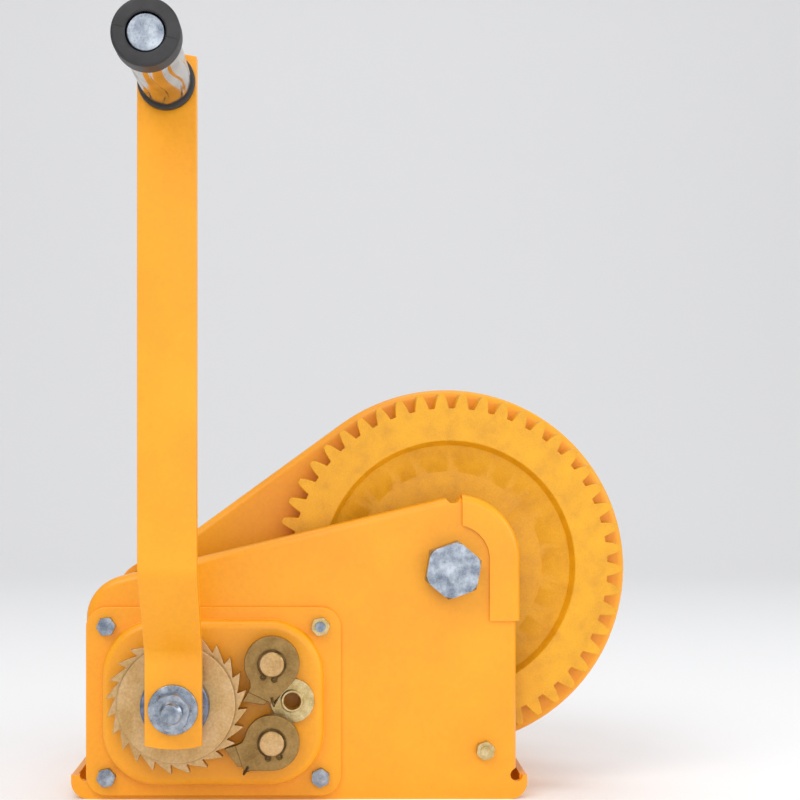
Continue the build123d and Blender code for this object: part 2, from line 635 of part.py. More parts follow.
def clamp_screw_places():
    """Centres of the rope clamp's two screws."""
    return [(DRUM_X + s * CLAMP_SCREW_SPACING / 2, DRUM_Z + CLAMP_RADIUS) for s in (-1, 1)]


def rope_clamp():
    """Small clamp bar on the outside of the rear drum flange."""
    outline = Pos(DRUM_X, DRUM_Z + CLAMP_RADIUS) * RectangleRounded(CLAMP_LENGTH, CLAMP_WIDTH, CLAMP_CORNER_R)
    body = slab(outline, Y_DRUM_BACK, Y_DRUM_BACK + CLAMP_THICKNESS)
    for x, z in clamp_screw_places():
        body -= ring(x, z, CLAMP_SCREW_R, Y_DRUM_BACK, Y_DRUM_BACK + CLAMP_THICKNESS)
    return body


def clamp_screws():
    """Two screws of the rope clamp."""
    bodies = []
    for x, z in clamp_screw_places():
        seat = Y_DRUM_BACK + CLAMP_THICKNESS
        start = Y_DRUM_BACK - DRUM_FLANGE_SHEET
        bodies.append(bolt(x, z, CLAMP_SCREW_R, CLAMP_SCREW_FLATS, CLAMP_SCREW_HEAD, seat, start, False))
    return bodies


def drum_axle_bolt():
    """Long bolt that the drum turns on."""
    end = Y_REAR + WASHER_THICKNESS + AXLE_NUT_HEIGHT + AXLE_BOLT_PROUD
    return bolt(DRUM_X, DRUM_Z, AXLE_R, AXLE_HEAD_FLATS, AXLE_HEAD_HEIGHT, Y_FRONT, end, True, 20.0)


def drum_axle_nut():
    """Nut behind the rear plate."""
    start = Y_REAR + WASHER_THICKNESS
    return nut(DRUM_X, DRUM_Z, AXLE_HEAD_FLATS, AXLE_R, start, start + AXLE_NUT_HEIGHT, False, 8.0)


def drum_axle_washer():
    """Washer under the rear nut."""
    return ring(DRUM_X, DRUM_Z, AXLE_R + AXLE_WASHER_WIDTH, Y_REAR, Y_REAR + WASHER_THICKNESS, AXLE_R)


def axle_spacers():
    """Tubes that keep the drum between the front and rear plates."""
    outer = AXLE_R + BUSH_WALL
    front = ring(DRUM_X, DRUM_Z, outer, Y_FRONT_INNER, Y_GEAR + DISH_DEPTH - SPACER_END_GAP, AXLE_R)
    rear = ring(DRUM_X, DRUM_Z, outer, Y_DRUM_BACK + SPACER_END_GAP, Y_REAR_INNER, AXLE_R)
    return [front, rear]


def layshaft():
    """Second shaft, between the front plate and the gear-side plate."""
    return ring(LAYSHAFT_X, LAYSHAFT_Z, SHAFT_R, Y_FRONT_INNER + BUSH_END_GAP, Y_SHAFT_END)


def layshaft_gear():
    """Large gear of the first stage."""
    outline = gear_outline(STAGE_ONE_MODULE, LAYSHAFT_GEAR_TEETH, 180)
    body = slab(Pos(LAYSHAFT_X, LAYSHAFT_Z) * outline, Y_STAGE_ONE, Y_STAGE_ONE_BACK)
    return body - ring(LAYSHAFT_X, LAYSHAFT_Z, SHAFT_R, Y_STAGE_ONE, Y_STAGE_ONE_BACK)


def pinion(module, teeth, tooth_angle, x, z, y_front, y_back):
    """Pinion with a tooth at tooth_angle degrees."""
    outline = gear_outline(module, teeth, tooth_angle - 180 / teeth, PINION_RELIEF)
    return slab(Pos(x, z) * outline, y_front, y_back) - ring(x, z, SHAFT_R, y_front, y_back)


def layshaft_pinion():
    """Pinion that drives the drum gear."""
    return pinion(STAGE_TWO_MODULE, LAYSHAFT_PINION_TEETH, DRUM_LINE_ANGLE,
                  LAYSHAFT_X, LAYSHAFT_Z, Y_STAGE_ONE_BACK, Y_GEAR_BACK + AXIAL_GAP)


def crank_pinion():
    """Pinion that drives the layshaft gear."""
    return pinion(STAGE_ONE_MODULE, CRANK_PINION_TEETH, 0,
                  CRANK_X, CRANK_Z, Y_STAGE_ONE - PINION_OVERHANG, Y_STAGE_ONE_BACK + PINION_OVERHANG)


def crank_shaft():
    """First shaft: journals, brake seat and the stud for the crank nut."""
    body = ring(CRANK_X, CRANK_Z, SHAFT_R, Y_ARM_BACK, Y_SHAFT_END)
    stud = ring(CRANK_X, CRANK_Z, CRANK_STUD_R, Y_CRANK_END, Y_ARM_BACK)
    rim = stud.edges().filter_by(lambda e: abs(e.bounding_box().max.Y - Y_CRANK_END) < 1e-4)
    return body + chamfer(rim, 1.0)


def brake_hub():
    """Fixed brake disc with the boss that the ratchet turns on."""
    body = ring(CRANK_X, CRANK_Z, HUB_DISC_R, Y_HUB_DISC, Y_HUB_DISC_BACK, SHAFT_R)
    return body + ring(CRANK_X, CRANK_Z, HUB_BOSS_R, Y_RATCHET - BRAKE_GAP, Y_FRONT - AXIAL_GAP, SHAFT_R)


def brake_linings():
    """Friction rings on either side of the ratchet."""
    rear = ring(CRANK_X, CRANK_Z, LINING_R, Y_HUB_DISC - LINING_THICKNESS, Y_HUB_DISC, HUB_BOSS_R)
    front = ring(CRANK_X, CRANK_Z, LINING_R, Y_FRONT_LINING, Y_FRONT_LINING + LINING_THICKNESS, HUB_BOSS_R)
    return [rear, front]


def pressure_disc():
    """Plated disc that presses the front lining on the ratchet."""
    body = ring(CRANK_X, CRANK_Z, PRESSURE_DISC_R, Y_PRESSURE_DISC, Y_FRONT_LINING, SHAFT_R)
    rim = body.edges().filter_by(GeomType.CIRCLE).filter_by(
        lambda e: abs(e.radius - PRESSURE_DISC_R) < 1e-3 and abs(e.center().Y - Y_PRESSURE_DISC) < 1e-3)
    return fillet(rim, PRESSURE_DISC_THICKNESS * 0.4)


def threaded_hub():
    """Hub that screws along the shaft and clamps the brake."""
    body = ring(CRANK_X, CRANK_Z, THREADED_HUB_R, Y_ARM_BACK, Y_PRESSURE_DISC, SHAFT_R)
    rim = body.edges().filter_by(GeomType.CIRCLE).filter_by(lambda e: abs(e.radius - THREADED_HUB_R) < 1e-3)
    return chamfer(rim, 0.8)


def ratchet_wheel():
    """Ratchet with saw teeth that lean over their steep side."""
    pitch = 360 / RATCHET_TEETH
    edges = []
    for i in range(RATCHET_TEETH):
        start = RATCHET_PHASE + i * pitch
        root = polar(RATCHET_ROOT_R, start)
        tip = polar(RATCHET_TIP_R, start + pitch + RATCHET_HOOK)
        middle_r = (RATCHET_ROOT_R + RATCHET_TIP_R) / 2 - RATCHET_BACK_SAG
        middle = polar(middle_r, start + (pitch + RATCHET_HOOK) / 2)
        edges.append(ThreePointArc(root, middle, tip))
        edges.append(Line(tip, polar(RATCHET_ROOT_R, start + pitch)))
    outline = make_face(Curve() + edges)
    body = slab(Pos(CRANK_X, CRANK_Z) * outline, Y_RATCHET, Y_RATCHET_BACK)
    return body - ring(CRANK_X, CRANK_Z, HUB_BOSS_R + RUNNING_CLEARANCE, Y_RATCHET, Y_RATCHET_BACK)


def pawl():
    """Upper pawl: round hub and a nose with a stepped tip, drawn about the crank axis."""
    pin = polar(PAWL_PIN_DISTANCE, PAWL_PIN_ANGLE)
    lower_right = polar(PAWL_HUB_R, -46, *pin)
    upper_left = polar(PAWL_HUB_R, 215, *pin)
    block = ((40.9, 6.6), (37.6, 0.9), (50.4, -1.1), (52.4, 1.0))
    nose = make_face(Polyline(pin, upper_left, (42.3, 10.2), *block, (54.4, -0.2), lower_right, close=True))
    outline = nose + Pos(*pin) * Circle(PAWL_HUB_R)
    outline = Pos(CRANK_X, CRANK_Z) * (outline - Pos(*pin) * Circle(PAWL_PIN_R + RUNNING_CLEARANCE))
    body = slab(outline, Y_RATCHET, Y_RATCHET_BACK)
    step = Pos(CRANK_X, CRANK_Z) * make_face(Polyline(*block, close=True))
    return body - slab(step, Y_RATCHET, Y_RATCHET + PAWL_TIP_STEP)


def pawl_pin(x, z):
    """Riveted pin with a shoulder behind the pawl and a groove for the clip."""
    y_end = Y_RATCHET - CLIP_THICKNESS - PIN_END_PROUD
    body = ring(x, z, PAWL_PIN_R, y_end, Y_FRONT_INNER)
    body += ring(x, z, PIN_SHOULDER_R, Y_RATCHET_BACK + BRAKE_GAP, Y_FRONT)
    groove = ring(x, z, PAWL_PIN_R + 1, Y_RATCHET - CLIP_THICKNESS - BRAKE_GAP, Y_RATCHET - BRAKE_GAP,
                  PIN_GROOVE_R)
    rim = [e for e in body.edges() if abs(e.bounding_box().max.Y - y_end) < 1e-4]
    return chamfer(rim, PIN_END_CHAMFER) - groove


def circlip(x, z, turn):
    """Retaining ring with two ears at its opening."""
    outline = Circle(CLIP_R) - Circle(PIN_GROOVE_R)
    gap = Pos(0, -CLIP_R) * Rectangle(CLIP_EAR_R * 1.6, CLIP_R)
    outline = outline - gap
    for side in (-1, 1):
        ear = Pos(side * CLIP_EAR_R * 1.7, -CLIP_R + 0.2) * Circle(CLIP_EAR_R)
        outline += ear - Pos(side * CLIP_EAR_R * 1.7, -CLIP_R + 0.2) * Circle(0.7)
    outline -= Circle(PIN_GROOVE_R)
    place = Pos(x, z) * Rot(0, 0, turn) * outline
    return slab(place, Y_RATCHET - CLIP_THICKNESS - BRAKE_GAP, Y_RATCHET - BRAKE_GAP)


def pawl_spring():
    """Torsion spring of the upper pawl: turns on the shoulder and a leg hooked over the nose's edge."""
    pin = polar(PAWL_PIN_DISTANCE, PAWL_PIN_ANGLE)
    turn_pitch = 2 * SPRING_WIRE_R + SPRING_TURN_GAP
    height = SPRING_TURNS * turn_pitch
    y_start = Y_RATCHET_BACK + SPRING_GAP + height
    y_leg = y_start - height
    coil_end = (pin[0] + SPRING_COIL_R, pin[1])
    path = Helix(turn_pitch, height, SPRING_COIL_R)
    wire = sweep(Plane(origin=path @ 0, z_dir=path % 0) * Circle(SPRING_WIRE_R), path=path)
    seat = Plane(origin=(CRANK_X + pin[0], y_start, CRANK_Z + pin[1]), x_dir=(1, 0, 0), z_dir=(0, -1, 0))
    body = seat * wire
    foot = (55.8, -1.3)
    hook = (54.4, 3.6)
    route = [
        (CRANK_X + coil_end[0], y_leg, CRANK_Z + coil_end[1] + 1.0),
        (CRANK_X + coil_end[0] - 0.4, y_leg, CRANK_Z + coil_end[1] - 8.0),
        (CRANK_X + foot[0], y_leg, CRANK_Z + foot[1]),
        (CRANK_X + foot[0], Y_RATCHET - SPRING_WIRE_R - SPRING_LEG_GAP, CRANK_Z + foot[1]),
        (CRANK_X + hook[0], Y_RATCHET - SPRING_WIRE_R - SPRING_LEG_GAP, CRANK_Z + hook[1]),
    ]
    leg_path = FilletPolyline(*route, radius=SPRING_LEG_BEND_R)
    leg = sweep(Plane(origin=leg_path @ 0, z_dir=leg_path % 0) * Circle(SPRING_WIRE_R), path=leg_path)
    return body + leg


def lower_twin(shape):
    """Copy of an upper pawl part, turned about the crank axis to the lower pawl's place."""
    about = Location((CRANK_X, 0, CRANK_Z))
    return about * Rot(0, PAWL_STEP_ANGLE, 0) * about.inverse() * shape


def layshaft_cap():
    """Round plate with a raised collar on the brake cover, in line with the layshaft."""
    y_face = Y_PAN - CAP_PLATE_THICKNESS
    body = ring(LAYSHAFT_X, LAYSHAFT_Z, CAP_PLATE_R, y_face, Y_PAN, CAP_HOLE_R)
    collar = ring(LAYSHAFT_X, LAYSHAFT_Z, CAP_COLLAR_R, y_face - CAP_COLLAR_RISE, y_face, CAP_HOLE_R)
    rim = [e for e in collar.edges() if abs(e.center().Y - (y_face - CAP_COLLAR_RISE)) < 1e-4
           and e.geom_type == GeomType.CIRCLE]
    return body + fillet(rim, 0.5)


def crank_arm():
    """Flat bar with a forward step, slightly rounded ends and holes for the shaft and grip pin."""
    low = CRANK_Z - ARM_BELOW_HUB - 10
    top = GRIP_Z + ARM_ABOVE_GRIP + 10
    bend_low = CRANK_Z + ARM_BEND_START
    bend_top = bend_low + ARM_BEND_RISE
    slope = ARM_OFFSET / ARM_BEND_RISE
    shift = ARM_THICKNESS * (math.sqrt(1 + slope * slope) - 1) / slope
    side = make_face(Polyline(
        (Y_ARM, low),
        (Y_ARM_BACK, low),
        (Y_ARM_BACK, bend_low + shift),
        (Y_UPPER_ARM + ARM_THICKNESS, bend_top + shift),
        (Y_UPPER_ARM + ARM_THICKNESS, top),
        (Y_UPPER_ARM, top),
        (Y_UPPER_ARM, bend_top),
        (Y_ARM, bend_low),
        close=True,
    ))
    near = 1.0
    bends = side.vertices().filter_by(lambda v: bend_low - near < v.Y < bend_top + shift + near)
    side = fillet(bends, ARM_BEND_R)
    plane = Plane(origin=(CRANK_X - ARM_WIDTH / 2, 0, 0), x_dir=(0, 1, 0), z_dir=(1, 0, 0))
    body = extrude(plane * side, amount=ARM_WIDTH)
    bottom_z = CRANK_Z - ARM_BELOW_HUB
    top_z = GRIP_Z + ARM_ABOVE_GRIP
    half = ARM_WIDTH / 2
    edges = [
        ThreePointArc((CRANK_X - half, bottom_z + ARM_END_BULGE), (CRANK_X, bottom_z),
                      (CRANK_X + half, bottom_z + ARM_END_BULGE)),
        Line((CRANK_X + half, bottom_z + ARM_END_BULGE), (CRANK_X + half, top_z - ARM_END_BULGE)),
        ThreePointArc((CRANK_X + half, top_z - ARM_END_BULGE), (CRANK_X, top_z),
                      (CRANK_X - half, top_z - ARM_END_BULGE)),
        Line((CRANK_X - half, top_z - ARM_END_BULGE), (CRANK_X - half, bottom_z + ARM_END_BULGE)),
    ]
    body = body & slab(make_face(Curve() + edges), Y_UPPER_ARM - 1, Y_ARM_BACK + 1)
    body -= ring(CRANK_X, CRANK_Z, CRANK_STUD_R, Y_ARM, Y_ARM_BACK)
    return body - ring(CRANK_X, GRIP_Z, GRIP_PIN_R, Y_UPPER_ARM, Y_UPPER_ARM + ARM_THICKNESS)


def crank_washer():
    """Washer under the crank nut."""
    return ring(CRANK_X, CRANK_Z, WASHER_R, Y_WASHER, Y_ARM, CRANK_STUD_R)


def crank_nut():
    """Nut that holds the arm on the shaft."""
    return nut(CRANK_X, CRANK_Z, CRANK_NUT_FLATS, CRANK_STUD_R, Y_CRANK_NUT, Y_WASHER, True, 15.0)


def grip_pin():
    """Pin riveted in the arm, with a round head in the grip's cap."""
    y_head = Y_GRIP_END + GRIP_HEAD_RECESS
    body = ring(CRANK_X, GRIP_Z, GRIP_PIN_R, y_head, Y_UPPER_ARM + ARM_THICKNESS + GRIP_PIN_RIVET)
    head = ring(CRANK_X, GRIP_Z, GRIP_PIN_HEAD_R, y_head, y_head + GRIP_PIN_HEAD)
    rim = [e for e in head.edges() if abs(e.center().Y - y_head) < 1e-4]
    return body + chamfer(rim, 0.6)


def grip_core():
    """Plastic tube that turns on the pin."""
    bore = GRIP_PIN_R + RUNNING_CLEARANCE
    return ring(CRANK_X, GRIP_Z, GRIP_PIN_R + GRIP_CORE_WALL, Y_GRIP_CAP, Y_GRIP, bore)


def grip_sleeve():
    """Fluted metal sleeve over the core."""
    outline = Circle(GRIP_SLEEVE_R)
    for i in range(GRIP_FLUTES):
        centre = polar(GRIP_SLEEVE_R + GRIP_FLUTE_R - GRIP_FLUTE_DEPTH, i * 360 / GRIP_FLUTES)
        outline -= Pos(*centre) * Circle(GRIP_FLUTE_R)
    outline -= Circle(GRIP_PIN_R + GRIP_CORE_WALL)
    return slab(Pos(CRANK_X, GRIP_Z) * outline, Y_GRIP_CAP, Y_GRIP_SLEEVE)


def grip_collar():
    """Black ring at the arm end of the grip."""
    body = ring(CRANK_X, GRIP_Z, GRIP_COLLAR_R, Y_GRIP_SLEEVE, Y_GRIP, GRIP_PIN_R + GRIP_CORE_WALL)
    rim = body.edges().filter_by(GeomType.CIRCLE).filter_by(lambda e: abs(e.radius - GRIP_COLLAR_R) < 1e-3)
    return fillet(rim, GRIP_COLLAR_ROUND)


def grip_cap():
    """Black end cap with a recess for the pin's head."""
    bore = GRIP_PIN_HEAD_R + GRIP_HEAD_GAP
    floor = GRIP_HEAD_RECESS + GRIP_PIN_HEAD + GRIP_HEAD_GAP
    body = ring(CRANK_X, GRIP_Z, GRIP_CAP_R, Y_GRIP_END, Y_GRIP_CAP, GRIP_PIN_R + RUNNING_CLEARANCE)
    body -= ring(CRANK_X, GRIP_Z, bore, Y_GRIP_END, Y_GRIP_END + floor)
    rim = body.edges().filter_by(GeomType.CIRCLE).filter_by(lambda e: abs(e.radius - GRIP_CAP_R) < 1e-3)
    return fillet(rim, GRIP_CAP_ROUND)


def base_bracket():
    """Angle that ties the front plate to the base."""
    height = BRACKET_BOLT_Z + BRACKET_ABOVE_BOLT
    upright = Pos(BRACKET_X, (SHEET + height) / 2) * Rectangle(BRACKET_WIDTH, height - SHEET)
    body = slab(upright, Y_FRONT_INNER, Y_FRONT_INNER + BRACKET_SHEET)
    foot = Pos(BRACKET_X, SHEET + BRACKET_SHEET / 2) * Rectangle(BRACKET_WIDTH, BRACKET_SHEET)
    body += slab(foot, Y_FRONT_INNER, Y_FRONT_INNER + BRACKET_FOOT)
    return body - ring(BRACKET_X, BRACKET_BOLT_Z, BOLT_R, Y_FRONT_INNER, Y_FRONT_INNER + BRACKET_SHEET)


def bracket_bolt():
    """Bolt of the bracket, fitted from behind."""
    seat = Y_FRONT_INNER + BRACKET_SHEET
    end = Y_FRONT - NUT_HEIGHT - BOLT_PROUD
    return bolt(BRACKET_X, BRACKET_BOLT_Z, BOLT_R, BOLT_FLATS, BOLT_HEAD_HEIGHT, seat, end, False)


def bracket_nut():
    """Nut of the bracket bolt, on the front plate."""
    return nut(BRACKET_X, BRACKET_BOLT_Z, BOLT_FLATS, BOLT_R, Y_FRONT - NUT_HEIGHT, Y_FRONT, True, 20.0)


def write_parts():
    """Write one STEP file for each node."""
    upper, lower = pawl_pin_places()
    nodes = {
        "base_plate": base_plate(),
        "front_plate": front_plate(),
        "rear_plate": rear_plate(),
        "corner_guard": corner_guard(),
        "gear_side_plate": gear_side_plate(),
        "base_bracket": base_bracket(),
        "bracket_bolt": bracket_bolt(),
        "bracket_nut": bracket_nut(),
        "brake_cover": brake_cover(),
        "cover_bolts": cover_bolts(),
        "cover_nuts": cover_nuts(),
        "layshaft_cap": layshaft_cap(),
        "crank_shaft_bushes": shaft_bushes(CRANK_X, CRANK_Z, Y_FRONT, Y_FRONT_INNER),
        "layshaft_bushes": shaft_bushes(LAYSHAFT_X, LAYSHAFT_Z, Y_FRONT_INNER, Y_STAGE_ONE - BUSH_END_GAP),
        "upper_pawl_pin": pawl_pin(*upper),
        "lower_pawl_pin": pawl_pin(*lower),
        "upper_circlip": circlip(*upper, -12.0),
        "lower_circlip": circlip(*lower, 8.0),
        "drum_axle_bolt": drum_axle_bolt(),
        "drum_axle_nut": drum_axle_nut(),
        "drum_axle_washer": drum_axle_washer(),
        "axle_spacers": axle_spacers(),
        "drum_gear": drum_gear(),
        "drum_barrel": drum_barrel(),
        "drum_hubs": drum_hubs(),
        "drum_bushes": drum_bushes(),
        "front_drum_flange": drum_flange(Y_DRUM, False),
        "rear_drum_flange": drum_flange(Y_DRUM_BACK - DRUM_FLANGE_SHEET, True),
        "rope_clamp": rope_clamp(),
        "clamp_screws": clamp_screws(),
        "layshaft": layshaft(),
        "layshaft_gear": layshaft_gear(),
        "layshaft_pinion": layshaft_pinion(),
        "crank_shaft": crank_shaft(),
        "crank_pinion": crank_pinion(),
        "brake_hub": brake_hub(),
        "brake_linings": brake_linings(),
        "pressure_disc": pressure_disc(),
        "threaded_hub": threaded_hub(),
        "ratchet_wheel": ratchet_wheel(),
        "upper_pawl": pawl(),
        "lower_pawl": lower_twin(pawl()),
        "upper_pawl_spring": pawl_spring(),
        "lower_pawl_spring": lower_twin(pawl_spring()),
        "crank_arm": crank_arm(),
        "crank_washer": crank_washer(),
        "crank_nut": crank_nut(),
        "grip_pin": grip_pin(),
        "grip_core": grip_core(),
        "grip_sleeve": grip_sleeve(),
        "grip_collar": grip_collar(),
        "grip_cap": grip_cap(),
    }
    os.makedirs("parts", exist_ok=True)
    for name, shape in nodes.items():
        body = Compound(children=list(shape)) if isinstance(shape, list) else shape
        export_step(body, f"parts/{name}.step")


write_parts()
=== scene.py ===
"""Hand-cranked brake winch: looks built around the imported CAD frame."""

from __future__ import annotations

import logging
import math
from dataclasses import dataclass, field
from enum import Enum

import bmesh
import bpy
from mathutils import Matrix, Vector


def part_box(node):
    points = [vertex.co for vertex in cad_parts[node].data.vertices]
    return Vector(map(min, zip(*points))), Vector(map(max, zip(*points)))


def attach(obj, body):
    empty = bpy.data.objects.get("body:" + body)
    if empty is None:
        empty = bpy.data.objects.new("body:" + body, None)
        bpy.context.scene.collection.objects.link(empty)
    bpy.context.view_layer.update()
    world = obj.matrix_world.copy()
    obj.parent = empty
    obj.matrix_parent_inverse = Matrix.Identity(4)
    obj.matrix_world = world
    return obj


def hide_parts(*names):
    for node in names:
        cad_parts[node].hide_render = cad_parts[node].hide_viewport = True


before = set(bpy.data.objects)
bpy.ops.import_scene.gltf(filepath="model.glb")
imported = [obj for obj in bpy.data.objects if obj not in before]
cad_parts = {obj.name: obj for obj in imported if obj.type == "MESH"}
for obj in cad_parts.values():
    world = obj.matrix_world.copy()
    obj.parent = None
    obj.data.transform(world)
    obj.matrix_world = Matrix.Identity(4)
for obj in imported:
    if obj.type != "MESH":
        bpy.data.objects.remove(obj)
LOG = logging.getLogger("winch")
MM = 0.001


class Grain(Enum):
    """How a finish breaks up its surface."""

    ORANGE_PEEL = "orange_peel"
    SAND_CAST = "sand_cast"
    SPANGLE = "spangle"
    BLOTCH = "blotch"
    MOULDED = "moulded"
    DRAWN = "drawn"


def srgb(code: str) -> tuple[float, float, float, float]:
    """Turn an sRGB hex value into a linear colour.

    Args:
        code: Six hex digits.

    Returns:
        Linear red, green, blue and an alpha of one.
    """
    values = [int(code[i:i + 2], 16) / 255 for i in (0, 2, 4)]
    linear = [v / 12.92 if v <= 0.04045 else ((v + 0.055) / 1.055) ** 2.4 for v in values]
    return (linear[0], linear[1], linear[2], 1.0)


def add_node(
    tree: bpy.types.NodeTree,
    kind: str,
    settings: dict[str, object] | None = None,
    links: dict[str | int, object] | None = None,
) -> bpy.types.Node:
    """Add a node with its settings and its links.

    Args:
        tree: The node tree that gets the node.
        kind: Blender's name for the node type.
        settings: Attributes of the node, or values of its sockets.
        links: Sockets to be joined, or constant values for them, by name or index.

    Returns:
        The new node.
    """
    node = tree.nodes.new(kind)
    for name, value in (settings or {}).items():
        setattr(node, name, value)
    for key, value in (links or {}).items():
        if isinstance(value, bpy.types.NodeSocket):
            tree.links.new(value, node.inputs[key])
        else:
            node.inputs[key].default_value = value
    return node


def ramp(
    tree: bpy.types.NodeTree, source: bpy.types.NodeSocket, stops: dict[float, tuple[float, ...]]
) -> bpy.types.NodeSocket:
    """Colour a value by stops.

    Args:
        tree: The node tree.
        source: The value socket.
        stops: Colours by their place from 0 to 1.

    Returns:
        The colour socket.
    """
    node = add_node(tree, "ShaderNodeValToRGB", links={0: source})
    elements = node.color_ramp.elements
    places = sorted(stops)
    elements[0].position, elements[1].position = places[0], places[-1]
    elements[0].color, elements[1].color = stops[places[0]], stops[places[-1]]
    for place in places[1:-1]:
        elements.new(place).color = stops[place]
    return node.outputs[0]


@dataclass(frozen=True)
class Finish:
    """One real finish: its colours, its grain and how it takes the light."""

    name: str
    base: str
    dark: str
    light: str
    grain: Grain
    grain_mm: float
    metallic: float
    roughness: float
    roughness_spread: float
    bump_mm: float
    mottle_mm: float = 25.0
    coat: float = 0.0
    coat_roughness: float = 0.1
    wear: str = ""
    wear_amount: float = 0.0
    stretch: tuple[float, float, float] = (1.0, 1.0, 1.0)

    def material(self) -> bpy.types.Material:
        """Build the node material.

        Returns:
            The material, made once and reused.
        """
        found = bpy.data.materials.get(self.name)
        if found:
            return found
        made = bpy.data.materials.new(self.name)
        made.use_nodes = True
        tree = made.node_tree
        tree.nodes.clear()
        place = add_node(tree, "ShaderNodeTexCoord").outputs["Object"]
        scaled = add_node(tree, "ShaderNodeMapping", links={0: place, "Scale": self.stretch}).outputs[0]
        fine = self.pattern(tree, scaled)
        mottle = add_node(tree, "ShaderNodeTexNoise", links={
            "Vector": place, "Scale": 1 / (self.mottle_mm * MM), "Detail": 4.0, "Roughness": 0.6,
        }).outputs[0]
        colour = ramp(tree, mottle, {0.32: srgb(self.dark), 0.5: srgb(self.base), 0.70: srgb(self.light)})
        # The fine grain darkens the colour where its bump is low. On zinc spangle and chromate blotches this
        # is real grain tone; on the other grains it is painted shade in the hollows.
        depth = {Grain.SPANGLE: 0.20, Grain.BLOTCH: 0.28, Grain.SAND_CAST: 0.16}.get(self.grain, 0.06)
        grain_tone_and_hollow_shade = ramp(tree, fine, {0.3: (1 - depth,) * 3 + (1.0,), 0.7: (1.0,) * 4})
        colour = add_node(tree, "ShaderNodeMix", {"data_type": "RGBA", "blend_type": "MULTIPLY"},
                          {0: 1.0, 6: colour, 7: grain_tone_and_hollow_shade}).outputs[2]
        if self.wear:
            colour = self.worn(tree, place, colour)
        low = self.roughness - self.roughness_spread
        rough = add_node(tree, "ShaderNodeMapRange", links={
            0: mottle, 1: 0.3, 2: 0.7, 3: max(low, 0.03), 4: self.roughness + self.roughness_spread,
        }).outputs[0]
        bump = add_node(tree, "ShaderNodeBump", links={
            "Height": fine, "Distance": self.bump_mm * MM, "Strength": 1.0,
        }).outputs[0]
        shader = add_node(tree, "ShaderNodeBsdfPrincipled", links={
            "Base Color": colour, "Roughness": rough, "Normal": bump, "Metallic": self.metallic,
            "Coat Weight": self.coat, "Coat Roughness": self.coat_roughness,
        })
        add_node(tree, "ShaderNodeOutputMaterial", links={0: shader.outputs[0]})
        return made

    def pattern(self, tree: bpy.types.NodeTree, place: bpy.types.NodeSocket) -> bpy.types.NodeSocket:
        """Make the fine pattern that the grain names.

        Args:
            tree: The material's tree.
            place: Coordinates on the piece.

        Returns:
            A value socket from 0 to 1.
        """
        scale = 1 / (self.grain_mm * MM)
        if self.grain is Grain.SPANGLE:
            return add_node(tree, "ShaderNodeTexVoronoi", {"feature": "SMOOTH_F1"}, {
                "Vector": place, "Scale": scale, "Smoothness": 0.35, "Detail": 1.0,
            }).outputs[0]
        detail = {Grain.SAND_CAST: 5.0, Grain.BLOTCH: 6.0}.get(self.grain, 2.0)
        return add_node(tree, "ShaderNodeTexNoise", links={
            "Vector": place, "Scale": scale, "Detail": detail, "Roughness": 0.62,
        }).outputs[0]

    def worn(
        self, tree: bpy.types.NodeTree, place: bpy.types.NodeSocket, colour: bpy.types.NodeSocket
    ) -> bpy.types.NodeSocket:
        """Mix in scuffs and specks of a second colour.

        Args:
            tree: The material's tree.
            place: Coordinates on the piece.
            colour: The colour under the scuffs.

        Returns:
            The mixed colour socket.
        """
        specks = add_node(tree, "ShaderNodeTexNoise", links={
            "Vector": place, "Scale": 1 / (3.2 * MM), "Detail": 7.0, "Roughness": 0.75,
        }).outputs[0]
        edge = 0.73 - 0.1 * self.wear_amount
        mask = add_node(tree, "ShaderNodeMapRange", links={0: specks, 1: edge, 2: edge + 0.05}).outputs[0]
        return add_node(tree, "ShaderNodeMix", {"data_type": "RGBA"}, {
            0: mask, 6: colour, 7: srgb(self.wear),
        }).outputs[2]


# Powder coat, sprayed and baked: a deep even yellow with a faint orange-peel ripple under a clear gloss.
POWDER_COAT = Finish("powder_coat_baked", "FBA602", "F8A000", "FDAC08", Grain.ORANGE_PEEL, 2.2,
                     0.0, 0.42, 0.04, 0.03, 60.0, coat=0.12, coat_roughness=0.2)
# The same coat on a sand casting: grit shows through, and painted shade darkens the yellow in the grit's
# hollows.
CAST_COAT = Finish("sand_cast_iron_painted", "F2AC08", "E6A006", "F8B410", Grain.SAND_CAST, 0.9,
                   0.0, 0.50, 0.06, 0.14, 11.0, coat=0.12, coat_roughness=0.35,
                   wear="C98A1A", wear_amount=0.4)
# Bright zinc plate, chromated blue: cool silver with soft dark crystals and small scratches.
BLUE_ZINC = Finish("zinc_plate_blue_chromate", "98A0AC", "747E8C", "C0C8D2", Grain.SPANGLE, 1.5,
                   1.0, 0.30, 0.08, 0.03, 7.0, wear="5E6C80", wear_amount=0.15)
# The same plate darkened where the hub rubs.
DARK_ZINC = Finish("zinc_plate_dark_hub", "70788C", "4E566A", "8E97AC", Grain.SPANGLE, 1.6,
                   1.0, 0.38, 0.10, 0.04, 6.0)
# Yellow passivated zinc plate on pressed steel: tan bronze with drifts of pink and olive.
YELLOW_ZINC = Finish("zinc_plate_yellow_chromate", "D8B27C", "C8A066", "E4C294", Grain.BLOTCH, 1.6,
                     0.85, 0.44, 0.08, 0.05, 13.0, wear="EBD3A8", wear_amount=0.35)
# Yellow zinc on hardened pawls: darker and more olive than the ratchet.
PAWL_ZINC = Finish("zinc_plate_yellow_hardened", "A2814C", "8F6F3E", "B4925A", Grain.BLOTCH, 1.3,
                   0.8, 0.46, 0.08, 0.05, 9.0, wear="CDB07A", wear_amount=0.25)
# Thin yellow zinc on the bracket nut and the cap: lighter and greener.
PALE_ZINC = Finish("zinc_plate_pale_yellow", "D6BE86", "BEA368", "EBDAAA", Grain.BLOTCH, 1.0,
                   0.85, 0.40, 0.08, 0.06, 5.0, wear="8E7446", wear_amount=0.4)
